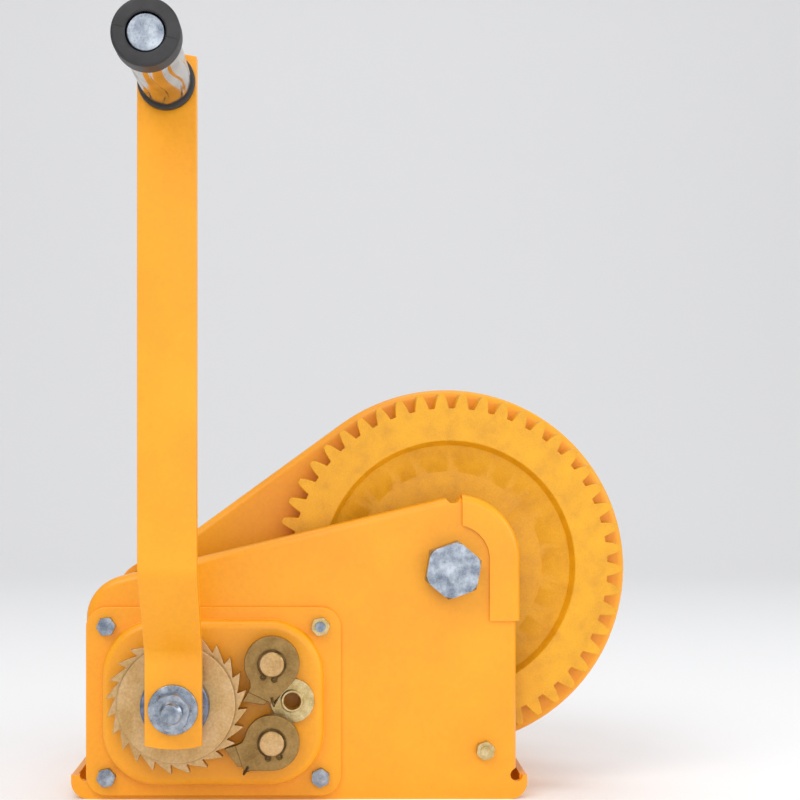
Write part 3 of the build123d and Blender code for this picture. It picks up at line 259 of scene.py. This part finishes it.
# Oiled spring wire and clips: dark brown steel.
SPRING_STEEL = Finish("spring_steel_oiled", "5C4726", "43331A", "77603A", Grain.DRAWN, 0.8,
                      0.9, 0.36, 0.06, 0.02, 4.0)
# Machined shafts and gears: plain grey steel with turning lines.
MACHINED_STEEL = Finish("steel_machined", "A2A4A6", "86888C", "BDBFC0", Grain.DRAWN, 0.9,
                        1.0, 0.32, 0.06, 0.02, 12.0, stretch=(1.0, 6.0, 1.0))
# Sintered bronze: warm and porous.
BRONZE = Finish("bronze_sintered", "B98B4E", "94693A", "CFA468", Grain.SAND_CAST, 0.6,
                0.9, 0.42, 0.06, 0.03, 8.0)
# Pressed friction lining: brown with pale fibres.
LINING = Finish("friction_lining_pressed", "4A3B30", "382C24", "5E4C3E", Grain.SAND_CAST, 0.7,
                0.0, 0.85, 0.05, 0.08, 4.0, wear="8E7A5E", wear_amount=0.6)
# Drawn and polished steel tube: clear reflections drawn out along the grip.
POLISHED_TUBE = Finish("steel_tube_polished", "C2B9AE", "A89C8E", "D9D3CA", Grain.DRAWN, 1.2,
                       1.0, 0.17, 0.05, 0.015, 22.0, stretch=(1.0, 0.15, 1.0))
# Moulded polypropylene: near black, satin, with a fine spark-eroded skin and pale scuffs.
BLACK_PLASTIC = Finish("polypropylene_moulded", "2B2A2C", "232224", "343335", Grain.MOULDED, 0.7,
                       0.0, 0.48, 0.07, 0.05, 10.0, wear="5C5B5E", wear_amount=0.15)


def finish_piece(piece: bpy.types.Object, finish: Finish) -> None:
    """Give every slot of a piece one finish."""
    piece.data.materials.clear()
    piece.data.materials.append(finish.material())


def shade_by_angle(piece: bpy.types.Object, degrees: float = 32.0) -> None:
    """Smooth a mesh, and keep edges sharper than an angle."""
    mesh = piece.data
    mesh.polygons.foreach_set("use_smooth", [True] * len(mesh.polygons))
    mesh.set_sharp_from_angle(angle=math.radians(degrees))


def new_piece(
    name: str, bm: bmesh.types.BMesh, finish: Finish, body: str, smooth: float = 32.0
) -> bpy.types.Object:
    """Turn a bmesh into a finished piece that rides on a body.

    Args:
        name: Name of the piece.
        bm: Its mesh, in metres and in place.
        finish: What it is made of.
        body: The CAD body that it rides on.
        smooth: Edges sharper than this stay sharp, in degrees.

    Returns:
        The linked object.
    """
    bmesh.ops.remove_doubles(bm, verts=bm.verts, dist=1e-7)
    bmesh.ops.recalc_face_normals(bm, faces=bm.faces)
    mesh = bpy.data.meshes.new(name)
    bm.to_mesh(mesh)
    bm.free()
    piece = bpy.data.objects.new(name, mesh)
    bpy.context.scene.collection.objects.link(piece)
    finish_piece(piece, finish)
    shade_by_angle(piece, smooth)
    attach(piece, body)
    LOG.info("%s: %d faces on %s", name, len(mesh.polygons), body)
    return piece


def centre(node: str) -> Vector:
    """Middle of a node's box at rest."""
    low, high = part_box(node)
    return (low + high) / 2


def lathe(
    bm: bmesh.types.BMesh, profile: list[tuple[float, float]], axis: Vector, steps: int = 96
) -> None:
    """Turn a closed profile about a line along Y.

    Args:
        bm: The mesh that gets the faces.
        profile: Points of radius and Y, in order round the section.
        axis: A point on the line.
        steps: Facets round the turn.
    """
    rings = []
    for i in range(steps):
        angle = math.tau * i / steps
        ring = []
        for radius, y in profile:
            ring.append(bm.verts.new((axis.x + radius * math.cos(angle), y,
                                      axis.z + radius * math.sin(angle))))
        rings.append(ring)
    count = len(profile)
    for i in range(steps):
        here, after = rings[i], rings[(i + 1) % steps]
        for k in range(count):
            nxt = (k + 1) % count
            if profile[k][0] < 1e-9 and profile[nxt][0] < 1e-9:
                continue
            bm.faces.new((here[k], here[nxt], after[nxt], after[k]))
    bmesh.ops.remove_doubles(bm, verts=bm.verts, dist=1e-7)
    bmesh.ops.dissolve_degenerate(bm, dist=1e-8, edges=bm.edges)


class GeometryTree:
    """Small builder for a Geometry Nodes tree with named inputs."""

    def __init__(self, name: str, finish: Finish) -> None:
        """Start an empty tree.

        Args:
            name: Name of the tree.
            finish: Finish that its last node sets.
        """
        self.tree = bpy.data.node_groups.new(name, "GeometryNodeTree")
        self.finish = finish
        self.sockets: dict[str, str] = {}
        self.tree.interface.new_socket("Geometry", in_out="INPUT", socket_type="NodeSocketGeometry")
        self.tree.interface.new_socket("Geometry", in_out="OUTPUT", socket_type="NodeSocketGeometry")

    def size(self, name: str, kind: str = "NodeSocketFloat") -> None:
        """Add a named input."""
        made = self.tree.interface.new_socket(name, in_out="INPUT", socket_type=kind)
        self.sockets[name] = made.identifier

    def start(self) -> bpy.types.Node:
        """Add the group's input node, once its inputs are named."""
        return self.tree.nodes.new("NodeGroupInput")

    def end(self, geometry: bpy.types.NodeSocket) -> None:
        """Realize the instances, set the material and join the output.

        Args:
            geometry: The socket with the tree's geometry.
        """
        real = add_node(self.tree, "GeometryNodeRealizeInstances", links={0: geometry})
        dressed = add_node(self.tree, "GeometryNodeSetMaterial", links={
            "Geometry": real.outputs[0], "Material": self.finish.material(),
        })
        add_node(self.tree, "NodeGroupOutput", links={0: dressed.outputs[0]})

    def mesh(self, name: str, values: dict[str, object]) -> bpy.types.Mesh:
        """Evaluate the tree with its sizes.

        Args:
            name: Name of the mesh.
            values: Values by input name.

        Returns:
            A plain mesh.
        """
        holder = bpy.data.objects.new(name + "_holder", bpy.data.meshes.new(name + "_empty"))
        bpy.context.scene.collection.objects.link(holder)
        modifier = holder.modifiers.new("tree", "NODES")
        modifier.node_group = self.tree
        for key, value in values.items():
            modifier[self.sockets[key]] = value
        graph = bpy.context.evaluated_depsgraph_get()
        made = bpy.data.meshes.new_from_object(holder.evaluated_get(graph), depsgraph=graph)
        made.name = name
        bpy.data.objects.remove(holder)
        return made


def place_mesh(
    name: str, mesh: bpy.types.Mesh, place: Matrix, finish: Finish, body: str, smooth: float = 40.0
) -> bpy.types.Object:
    """Move a mesh to its place and make it a finished piece.

    Args:
        name: Name of the piece.
        mesh: The mesh, about the origin.
        place: Where it goes.
        finish: What it is made of.
        body: The CAD body that it rides on.
        smooth: Edges sharper than this stay sharp, in degrees.

    Returns:
        The linked object.
    """
    bm = bmesh.new()
    bm.from_mesh(mesh)
    bmesh.ops.transform(bm, matrix=place, verts=bm.verts)
    bpy.data.meshes.remove(mesh)
    return new_piece(name, bm, finish, body, smooth)


@dataclass
class RoundedNode:
    """A CAD node shown with rounded edges: same shape, with the small radius of the real piece."""

    node: str
    body: str
    slot: str
    finish: Finish
    radius_mm: float = 0.4
    segments: int = 2
    angle: float = 38.0
    smooth: float = 30.0

    def build(self) -> bpy.types.Object:
        """Copy the node's mesh, join its triangles, round its edges and stand for the node.

        Returns:
            The finished piece.
        """
        bm = bmesh.new()
        bm.from_mesh(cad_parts[self.node].data)
        bmesh.ops.remove_doubles(bm, verts=bm.verts, dist=2e-6)
        bmesh.ops.dissolve_limit(bm, angle_limit=math.radians(0.6), verts=bm.verts, edges=bm.edges,
                                 use_dissolve_boundaries=False)
        mesh = bpy.data.meshes.new(self.node + "_rounded")
        bm.to_mesh(mesh)
        bm.free()
        piece = bpy.data.objects.new(self.node + "_rounded", mesh)
        bpy.context.scene.collection.objects.link(piece)
        shade_by_angle(piece, self.smooth)
        bevel = piece.modifiers.new("edge", "BEVEL")
        bevel.width = self.radius_mm * MM
        bevel.segments = self.segments
        bevel.limit_method = "ANGLE"
        bevel.angle_limit = math.radians(self.angle)
        bevel.use_clamp_overlap = True
        bevel.miter_outer = "MITER_ARC"
        bevel.harden_normals = True
        weighted = piece.modifiers.new("flat_faces", "WEIGHTED_NORMAL")
        weighted.keep_sharp = True
        graph = bpy.context.evaluated_depsgraph_get()
        rounded = bpy.data.meshes.new_from_object(piece.evaluated_get(graph), depsgraph=graph)
        piece.modifiers.clear()
        piece.data = rounded
        bpy.data.meshes.remove(mesh)
        finish_piece(piece, self.finish)
        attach(piece, self.body)
        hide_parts(self.node)
        LOG.info("%s: %d faces on %s", piece.name, len(rounded.polygons), self.body)
        return piece


@dataclass
class Frame:
    """Folded steel frame: base, side plates, gear-side plate, corner guard and their welds."""

    edge_mm: float = 0.5
    bead_mm: float = 2.6
    bead_pitch_mm: float = 2.4
    sheet_mm: float = 4.0
    weld_inset_mm: float = 14.0
    side_weld_share: float = 0.94
    plates: tuple[str, ...] = ("base_plate", "front_plate", "rear_plate", "gear_side_plate")

    def build(self) -> None:
        """Round the sheets' edges, then lay the welds."""
        for node in self.plates:
            RoundedNode(node, "frame", "yellow_paint", POWDER_COAT, self.edge_mm).build()
        RoundedNode("corner_guard", "frame", "yellow_paint", POWDER_COAT, 0.3).build()
        RoundedNode("base_bracket", "frame", "yellow_paint", POWDER_COAT, 0.4).build()
        RoundedNode("brake_cover", "frame", "yellow_paint", POWDER_COAT, 0.6, 3).build()
        self.welds()

    def bead_tree(self) -> GeometryTree:
        """Make the tree that lays overlapping beads along X.

        Returns:
            The tree, with its inputs named.
        """
        made = GeometryTree("weld_beads", POWDER_COAT)
        for name in ("Length", "Radius"):
            made.size(name)
        made.size("Count", "NodeSocketInt")
        made.size("Seed", "NodeSocketInt")
        tree, start = made.tree, made.start()
        end = add_node(tree, "ShaderNodeCombineXYZ", links={0: start.outputs["Length"]})
        line = add_node(tree, "GeometryNodeMeshLine", {"mode": "END_POINTS"}, {
            "Count": start.outputs["Count"], "Start Location": (0.0, 0.0, 0.0), "Offset": end.outputs[0],
        })
        bead = add_node(tree, "GeometryNodeMeshUVSphere", links={
            "Segments": 12, "Rings": 8, "Radius": start.outputs["Radius"],
        })
        spread = add_node(tree, "FunctionNodeRandomValue", {"data_type": "FLOAT_VECTOR"}, {
            0: (0.75, 0.85, 0.85), 1: (1.05, 1.1, 1.1), "Seed": start.outputs["Seed"],
        })
        beads = add_node(tree, "GeometryNodeInstanceOnPoints", links={
            "Points": line.outputs[0], "Instance": bead.outputs[0], "Scale": spread.outputs[0],
        })
        made.end(beads.outputs[0])
        return made

    def welds(self) -> None:
        """Lay the beads where the plates stand on the base."""
        tree = self.bead_tree()
        low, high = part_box("gear_side_plate")
        base_low, base_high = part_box("base_plate")
        wall = self.sheet_mm * MM
        floor = base_low.z + wall
        inset = self.weld_inset_mm * MM
        start = base_low.x + wall + inset
        reach = base_high.x - base_low.x - 2 * (wall + inset)
        seams = {
            "weld_gear_side": (low.y + wall, start, reach * self.side_weld_share),
            "weld_rear": (base_high.y, start, reach),
        }
        for seed, (name, (y, x, length)) in enumerate(seams.items()):
            mesh = tree.mesh(name, {
                "Length": length, "Radius": self.bead_mm * MM, "Seed": seed + 3,
                "Count": int(length / (self.bead_pitch_mm * MM)),
            })
            place_mesh(name, mesh, Matrix.Translation((x, y, floor)), POWDER_COAT, "frame")


@dataclass
class Fasteners:
    """Bolts, nuts, washers, pins and clips on the frame."""

    edge_mm: float = 0.3
    bright: tuple[str, ...] = ("cover_bolts", "drum_axle_bolt", "drum_axle_nut", "drum_axle_washer")
    pale: tuple[str, ...] = ("cover_nuts", "bracket_nut", "bracket_bolt")
    pins: tuple[str, ...] = ("upper_pawl_pin", "lower_pawl_pin")
    clips: tuple[str, ...] = ("upper_circlip", "lower_circlip")
    groove_rings: int = 4
    groove_step_mm: float = 1.35
    groove_half_mm: float = 0.28
    groove_rise_mm: float = 0.16

    def build(self) -> None:
        """Dress the fasteners and turn the lathe marks on the pins."""
        for node in self.bright:
            RoundedNode(node, "frame", "blue_zinc", BLUE_ZINC, self.edge_mm).build()
        for node in self.pale:
            RoundedNode(node, "frame", "blue_zinc", PALE_ZINC, self.edge_mm).build()
        for node in self.pins:
            finish_piece(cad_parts[node], YELLOW_ZINC)
            self.lathe_marks(node)
        for node in self.clips:
            RoundedNode(node, "frame", "spring_steel", SPRING_STEEL, 0.15).build()
        RoundedNode("layshaft_cap", "frame", "yellow_zinc", PALE_ZINC, 0.4).build()
        for node in ("crank_shaft_bushes", "layshaft_bushes"):
            finish_piece(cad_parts[node], BRONZE)
        finish_piece(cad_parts["axle_spacers"], MACHINED_STEEL)

    def lathe_marks(self, node: str) -> None:
        """Raise fine rings on a pin's face, as the parting tool leaves them."""
        low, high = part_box(node)
        middle = (low + high) / 2
        face = low.y
        step = self.groove_step_mm * MM
        half = self.groove_half_mm * MM
        rise = self.groove_rise_mm * MM
        bm = bmesh.new()
        for k in range(1, self.groove_rings + 1):
            radius = k * step
            profile = [(radius - half, face), (radius, face - rise),
                       (radius + half, face), (radius, face + rise)]
            lathe(bm, profile, middle, 48)
        new_piece(node + "_turning_marks", bm, YELLOW_ZINC, "frame", 60.0)


@dataclass
class Drum:
    """Drum with its cast gear, barrel, flanges and rope clamp."""

    tooth_edge_mm: float = 0.45

    def build(self) -> None:
        """Dress the drum's pieces."""
        RoundedNode("drum_gear", "drum", "yellow_cast", CAST_COAT, self.tooth_edge_mm, 2, 30.0, 18.0).build()
        for node in ("drum_barrel", "front_drum_flange", "rear_drum_flange", "drum_hubs"):
            RoundedNode(node, "drum", "yellow_cast", CAST_COAT, 0.4).build()
        RoundedNode("rope_clamp", "drum", "blue_zinc", BLUE_ZINC, 0.4).build()
        RoundedNode("clamp_screws", "drum", "blue_zinc", BLUE_ZINC, 0.25).build()
        finish_piece(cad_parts["drum_bushes"], BRONZE)


@dataclass
class Gearbox:
    """Layshaft with its gear and pinion, and the crank's pinion."""

    edge_mm: float = 0.3

    def build(self) -> None:
        """Dress the gears between the crank and the drum."""
        for node in ("layshaft", "layshaft_gear", "layshaft_pinion"):
            RoundedNode(node, "layshaft", "bare_steel", MACHINED_STEEL, self.edge_mm).build()
        RoundedNode("crank_pinion", "crank", "bare_steel", MACHINED_STEEL, self.edge_mm).build()


@dataclass
class Brake:
    """Load brake: hub, linings, ratchet, pressure disc, threaded hub and pawls."""

    edge_mm: float = 0.3

    def build(self) -> None:
        """Dress the brake's pieces."""
        RoundedNode("ratchet_wheel", "ratchet", "yellow_zinc", YELLOW_ZINC, self.edge_mm, 2, 25.0).build()
        RoundedNode("pressure_disc", "crank", "yellow_zinc", YELLOW_ZINC, 0.3).build()
        RoundedNode("brake_hub", "crank", "yellow_zinc", YELLOW_ZINC, 0.3).build()
        RoundedNode("threaded_hub", "crank", "blue_zinc", DARK_ZINC, 0.3).build()
        finish_piece(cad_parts["brake_linings"], LINING)
        for side in ("upper", "lower"):
            body = side + "_pawl"
            RoundedNode(body, body, "yellow_zinc", PAWL_ZINC, 0.45, 2, 25.0).build()
            finish_piece(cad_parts[body + "_spring"], SPRING_STEEL)


@dataclass
class Crank:
    """Crank arm, its shaft, nut and washer."""

    edge_mm: float = 0.7
    thread_pitch_mm: float = 1.75
    thread_depth_mm: float = 0.35
    stud_r_mm: float = 6.0
    stud_chamfer_mm: float = 1.3
    thread_lift_mm: float = 0.02
    thread_steps: int = 40

    def build(self) -> None:
        """Dress the crank and cut the stud's thread."""
        RoundedNode("crank_arm", "crank", "yellow_paint", POWDER_COAT, self.edge_mm, 3).build()
        RoundedNode("crank_shaft", "crank", "blue_zinc", BLUE_ZINC, 0.3).build()
        RoundedNode("crank_washer", "crank", "blue_zinc", BLUE_ZINC, 0.5, 3).build()
        RoundedNode("crank_nut", "crank", "blue_zinc", BLUE_ZINC, 0.4, 3).build()
        RoundedNode("grip_pin", "crank", "blue_zinc", BLUE_ZINC, 0.3).build()
        self.thread()

    def thread(self) -> None:
        """Wind a thread on the part of the stud that stands out of the nut."""
        nut_low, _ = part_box("crank_nut")
        stud_low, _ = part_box("crank_shaft")
        middle = centre("crank_shaft")
        radius = (self.stud_r_mm + self.thread_lift_mm) * MM
        depth = self.thread_depth_mm * MM
        pitch = self.thread_pitch_mm * MM
        first = stud_low.y + self.stud_chamfer_mm * MM
        turns = max(1, int((nut_low.y - first) / pitch))
        steps = self.thread_steps
        bm = bmesh.new()
        sections = []
        for i in range(turns * steps + 1):
            angle = math.tau * i / steps
            y = first + pitch * i / steps
            section = []
            for r, shift in ((radius - depth, -0.45), (radius + depth, -0.08),
                             (radius + depth, 0.08), (radius - depth, 0.45)):
                section.append(bm.verts.new((middle.x + r * math.cos(angle), y + shift * pitch,
                                             middle.z + r * math.sin(angle))))
            sections.append(section)
        for here, after in zip(sections, sections[1:]):
            for k in range(4):
                bm.faces.new((here[k], here[(k + 1) % 4], after[(k + 1) % 4], after[k]))
        bm.faces.new(sections[0])
        bm.faces.new(list(reversed(sections[-1])))
        new_piece("crank_stud_thread", bm, BLUE_ZINC, "crank", 35.0)


@dataclass
class Grip:
    """Turning grip: black core, fluted polished sleeve, collar and end cap."""

    flutes: int = 8
    flute_depth_mm: float = 1.2
    wave_mm: float = 1.1
    belly_mm: float = 0.35
    sway_factor: float = 2.2
    wave_turns: float = 1.0
    around: int = 192
    along: int = 72
    wall_mm: float = 1.6
    seam_mm: float = 0.7
    cap_edge_mm: float = 1.6
    bore_gap_mm: float = 0.45
    recess_mm: float = 7.9
    shank_r_mm: float = 6.1
    lip_mm: float = 0.7
    seam_angles: tuple[float, float] = (168.0, -14.0)

    def build(self) -> None:
        """Make the sleeve and the cap, and dress the rest."""
        finish_piece(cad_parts["grip_core"], BLACK_PLASTIC)
        RoundedNode("grip_collar", "grip", "black_plastic", BLACK_PLASTIC, 0.3).build()
        self.sleeve()
        self.cap()

    def sleeve_radius(self, angle: float, share: float, outer: float) -> float:
        """Radius of the sleeve's skin.

        Args:
            angle: Angle round the grip, in radians.
            share: Place along the sleeve, from 0 to 1.
            outer: Largest radius.

        Returns:
            The radius there.
        """
        sway = self.wave_mm * MM / outer * math.sin(math.tau * self.wave_turns * share)
        groove = 0.5 + 0.5 * math.cos(self.flutes * (angle + sway * self.sway_factor))
        fade = math.sin(min(1.0, 6.0 * share, 6.0 * (1.0 - share)) * math.pi / 2) ** 2
        belly = self.belly_mm * MM * math.sin(math.pi * share)
        return outer - self.belly_mm * MM + belly - self.flute_depth_mm * MM * fade * groove ** 4

    def sleeve(self) -> None:
        """Roll the sleeve: flutes that sway from side to side along the grip."""
        low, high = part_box("grip_sleeve")
        middle = (low + high) / 2
        outer = (high.x - low.x) / 2
        inner = outer - self.wall_mm * MM - self.flute_depth_mm * MM
        bm = bmesh.new()
        skins = []
        for j in range(self.along + 1):
            share = j / self.along
            y = low.y + (high.y - low.y) * share
            ring = []
            for i in range(self.around):
                angle = math.tau * i / self.around
                r = self.sleeve_radius(angle, share, outer)
                ring.append(bm.verts.new((middle.x + r * math.cos(angle), y, middle.z + r * math.sin(angle))))
            skins.append(ring)
        bores = []
        for y in (high.y, low.y):
            ring = []
            for i in range(self.around):
                angle = math.tau * i / self.around
                ring.append(bm.verts.new((middle.x + inner * math.cos(angle), y,
                                          middle.z + inner * math.sin(angle))))
            bores.append(ring)
        loops = skins + bores + [skins[0]]
        for here, after in zip(loops, loops[1:]):
            for i in range(self.around):
                nxt = (i + 1) % self.around
                bm.faces.new((here[i], here[nxt], after[nxt], after[i]))
        piece = new_piece("grip_sleeve_fluted", bm, POLISHED_TUBE, "grip", 50.0)
        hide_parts("grip_sleeve")

    def cap(self) -> None:
        """Turn the end cap, with its recess and two mould parting lines."""
        low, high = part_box("grip_cap")
        middle = (low + high) / 2
        pin_low, pin_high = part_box("grip_pin")
        outer = (high.x - low.x) / 2
        bore = (pin_high.x - pin_low.x) / 2 + self.bore_gap_mm * MM
        floor = low.y + self.recess_mm * MM
        shank = self.shank_r_mm * MM
        edge = self.cap_edge_mm * MM
        profile = [(shank, high.y), (outer - edge * 0.6, high.y), (outer, high.y - edge * 0.6)]
        for k in range(7):
            turn = math.pi / 2 * k / 6
            profile.append((outer - edge + edge * math.cos(turn), low.y + edge - edge * math.sin(turn)))
        lip = self.lip_mm * MM
        profile += [(bore + lip, low.y), (bore, low.y + lip), (bore, floor), (shank, floor)]
        bm = bmesh.new()
        lathe(bm, profile, middle, 128)
        for turn in self.seam_angles:
            self.parting_line(bm, middle, bore + lip, outer - edge * 0.4, low.y, turn)
        piece = new_piece("grip_cap_moulded", bm, BLACK_PLASTIC, "grip", 40.0)
        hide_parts("grip_cap")

    def parting_line(
        self, bm: bmesh.types.BMesh, middle: Vector, inner: float, outer: float, face: float, turn: float
    ) -> None:
        """Raise the thin flash that the two mould halves leave across the cap's face.

        Args:
            bm: The mesh that gets it.
            middle: The grip's axis.
            inner: Where it starts, from the axis.
            outer: Where it ends.
            face: Station of the cap's face.
            turn: Its angle in degrees.
        """
        along = Vector((math.cos(math.radians(turn)), 0, math.sin(math.radians(turn))))
        side = Vector((-along.z, 0, along.x)) * self.seam_mm * MM * 0.5
        height = Vector((0, -self.seam_mm * MM * 0.5, 0))
        base = Vector((middle.x, face + 0.1 * MM, middle.z))
        ends = []
        for reach in (inner, outer):
            at = base + along * reach
            ends.append([bm.verts.new(at - side), bm.verts.new(at + height), bm.verts.new(at + side)])
        for k in range(3):
            nxt = (k + 1) % 3
            bm.faces.new((ends[0][k], ends[0][nxt], ends[1][nxt], ends[1][k]))
        bm.faces.new(ends[0])
        bm.faces.new(list(reversed(ends[1])))


@dataclass
class Studio:
    """Pale floor, soft light and the camera."""

    lens: float = 72.0
    height_mm: float = 205.0
    side_mm: float = 13.2
    distance_mm: float = 940.0
    shift_x: float = 0.098
    shift_y: float = 0.0625
    floor_size: float = 12.0
    lights: dict[str, tuple[tuple[float, float, float], float, float]] = field(default_factory=lambda: {
        "key": ((-0.9, -1.5, 1.9), 1.3, 19.0),
        "front": ((0.5, -2.2, 0.9), 1.8, 14.0),
        "right": ((1.9, -0.6, 0.9), 1.2, 11.0),
        "top": ((0.1, 0.2, 2.3), 1.6, 13.0),
    })

    def build(self) -> None:
        """Set the stage, the lights and the camera."""
        self.stage()
        for name, (place, size, power) in self.lights.items():
            self.light(name, Vector(place), size, power)
        world = bpy.data.worlds.new("studio")
        world.use_nodes = True
        world.node_tree.nodes["Background"].inputs[0].default_value = srgb("F4F5F7")
        world.node_tree.nodes["Background"].inputs[1].default_value = 0.5
        bpy.context.scene.world = world
        bpy.context.scene.view_settings.view_transform = "Standard"
        self.camera()

    def stage(self) -> None:
        """Make the floor with a curved wall behind it."""
        half = self.floor_size / 2
        curve = [(-half, 0.0), (1.6, 0.0)]
        bend = 1.2
        for k in range(1, 13):
            turn = math.pi / 2 * k / 12
            curve.append((1.6 + bend * math.sin(turn), bend - bend * math.cos(turn)))
        curve.append((1.6 + bend, 6.0))
        bm = bmesh.new()
        rows = [[bm.verts.new((x, y, z)) for y, z in curve] for x in (-half, half)]
        for k in range(len(curve) - 1):
            bm.faces.new((rows[0][k], rows[1][k], rows[1][k + 1], rows[0][k + 1]))
        mesh = bpy.data.meshes.new("studio_floor")
        bm.to_mesh(mesh)
        bm.free()
        floor = bpy.data.objects.new("studio_floor", mesh)
        bpy.context.scene.collection.objects.link(floor)
        paper = bpy.data.materials.new("backdrop_paper")
        paper.use_nodes = True
        tree = paper.node_tree
        place = add_node(tree, "ShaderNodeTexCoord").outputs["Object"]
        grain = add_node(tree, "ShaderNodeTexNoise", links={"Vector": place, "Scale": 900.0}).outputs[0]
        tone = ramp(tree, grain, {0.3: srgb("F8F8F9"), 0.7: srgb("FDFDFD")})
        shader = tree.nodes["Principled BSDF"]
        tree.links.new(tone, shader.inputs["Base Color"])
        shader.inputs["Roughness"].default_value = 0.9
        mesh.materials.append(paper)
        shade_by_angle(floor, 60.0)

    def light(self, name: str, place: Vector, size: float, power: float) -> None:
        """Add one soft panel that looks at the winch."""
        data = bpy.data.lights.new(name, "AREA")
        data.size = size
        data.energy = power
        lamp = bpy.data.objects.new(name, data)
        lamp.location = place
        aim = Vector((0.02, 0.0, 0.18)) - place
        lamp.rotation_euler = aim.to_track_quat("-Z", "Y").to_euler()
        bpy.context.scene.collection.objects.link(lamp)

    def camera(self) -> None:
        """Stand the camera level in front of the crank side."""
        low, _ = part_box("front_plate")
        data = bpy.data.cameras.new("camera")
        data.lens = self.lens
        data.sensor_width = 36.0
        data.shift_x = self.shift_x
        data.shift_y = self.shift_y
        data.clip_end = 30.0
        made = bpy.data.objects.new("camera", data)
        made.location = (self.side_mm * MM, low.y - self.distance_mm * MM, self.height_mm * MM)
        made.rotation_euler = (math.radians(90), 0.0, 0.0)
        bpy.context.scene.collection.objects.link(made)
        bpy.context.scene.camera = made


def main() -> None:
    """Build the winch's looks in order."""
    logging.basicConfig(level=logging.INFO, format="%(name)s %(message)s")
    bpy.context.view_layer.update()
    for part in (Studio(), Frame(), Fasteners(), Drum(), Gearbox(), Brake(), Crank(), Grip()):
        part.build()
        LOG.info("%s built", type(part).__name__)


if __name__ == "__main__":
    main()
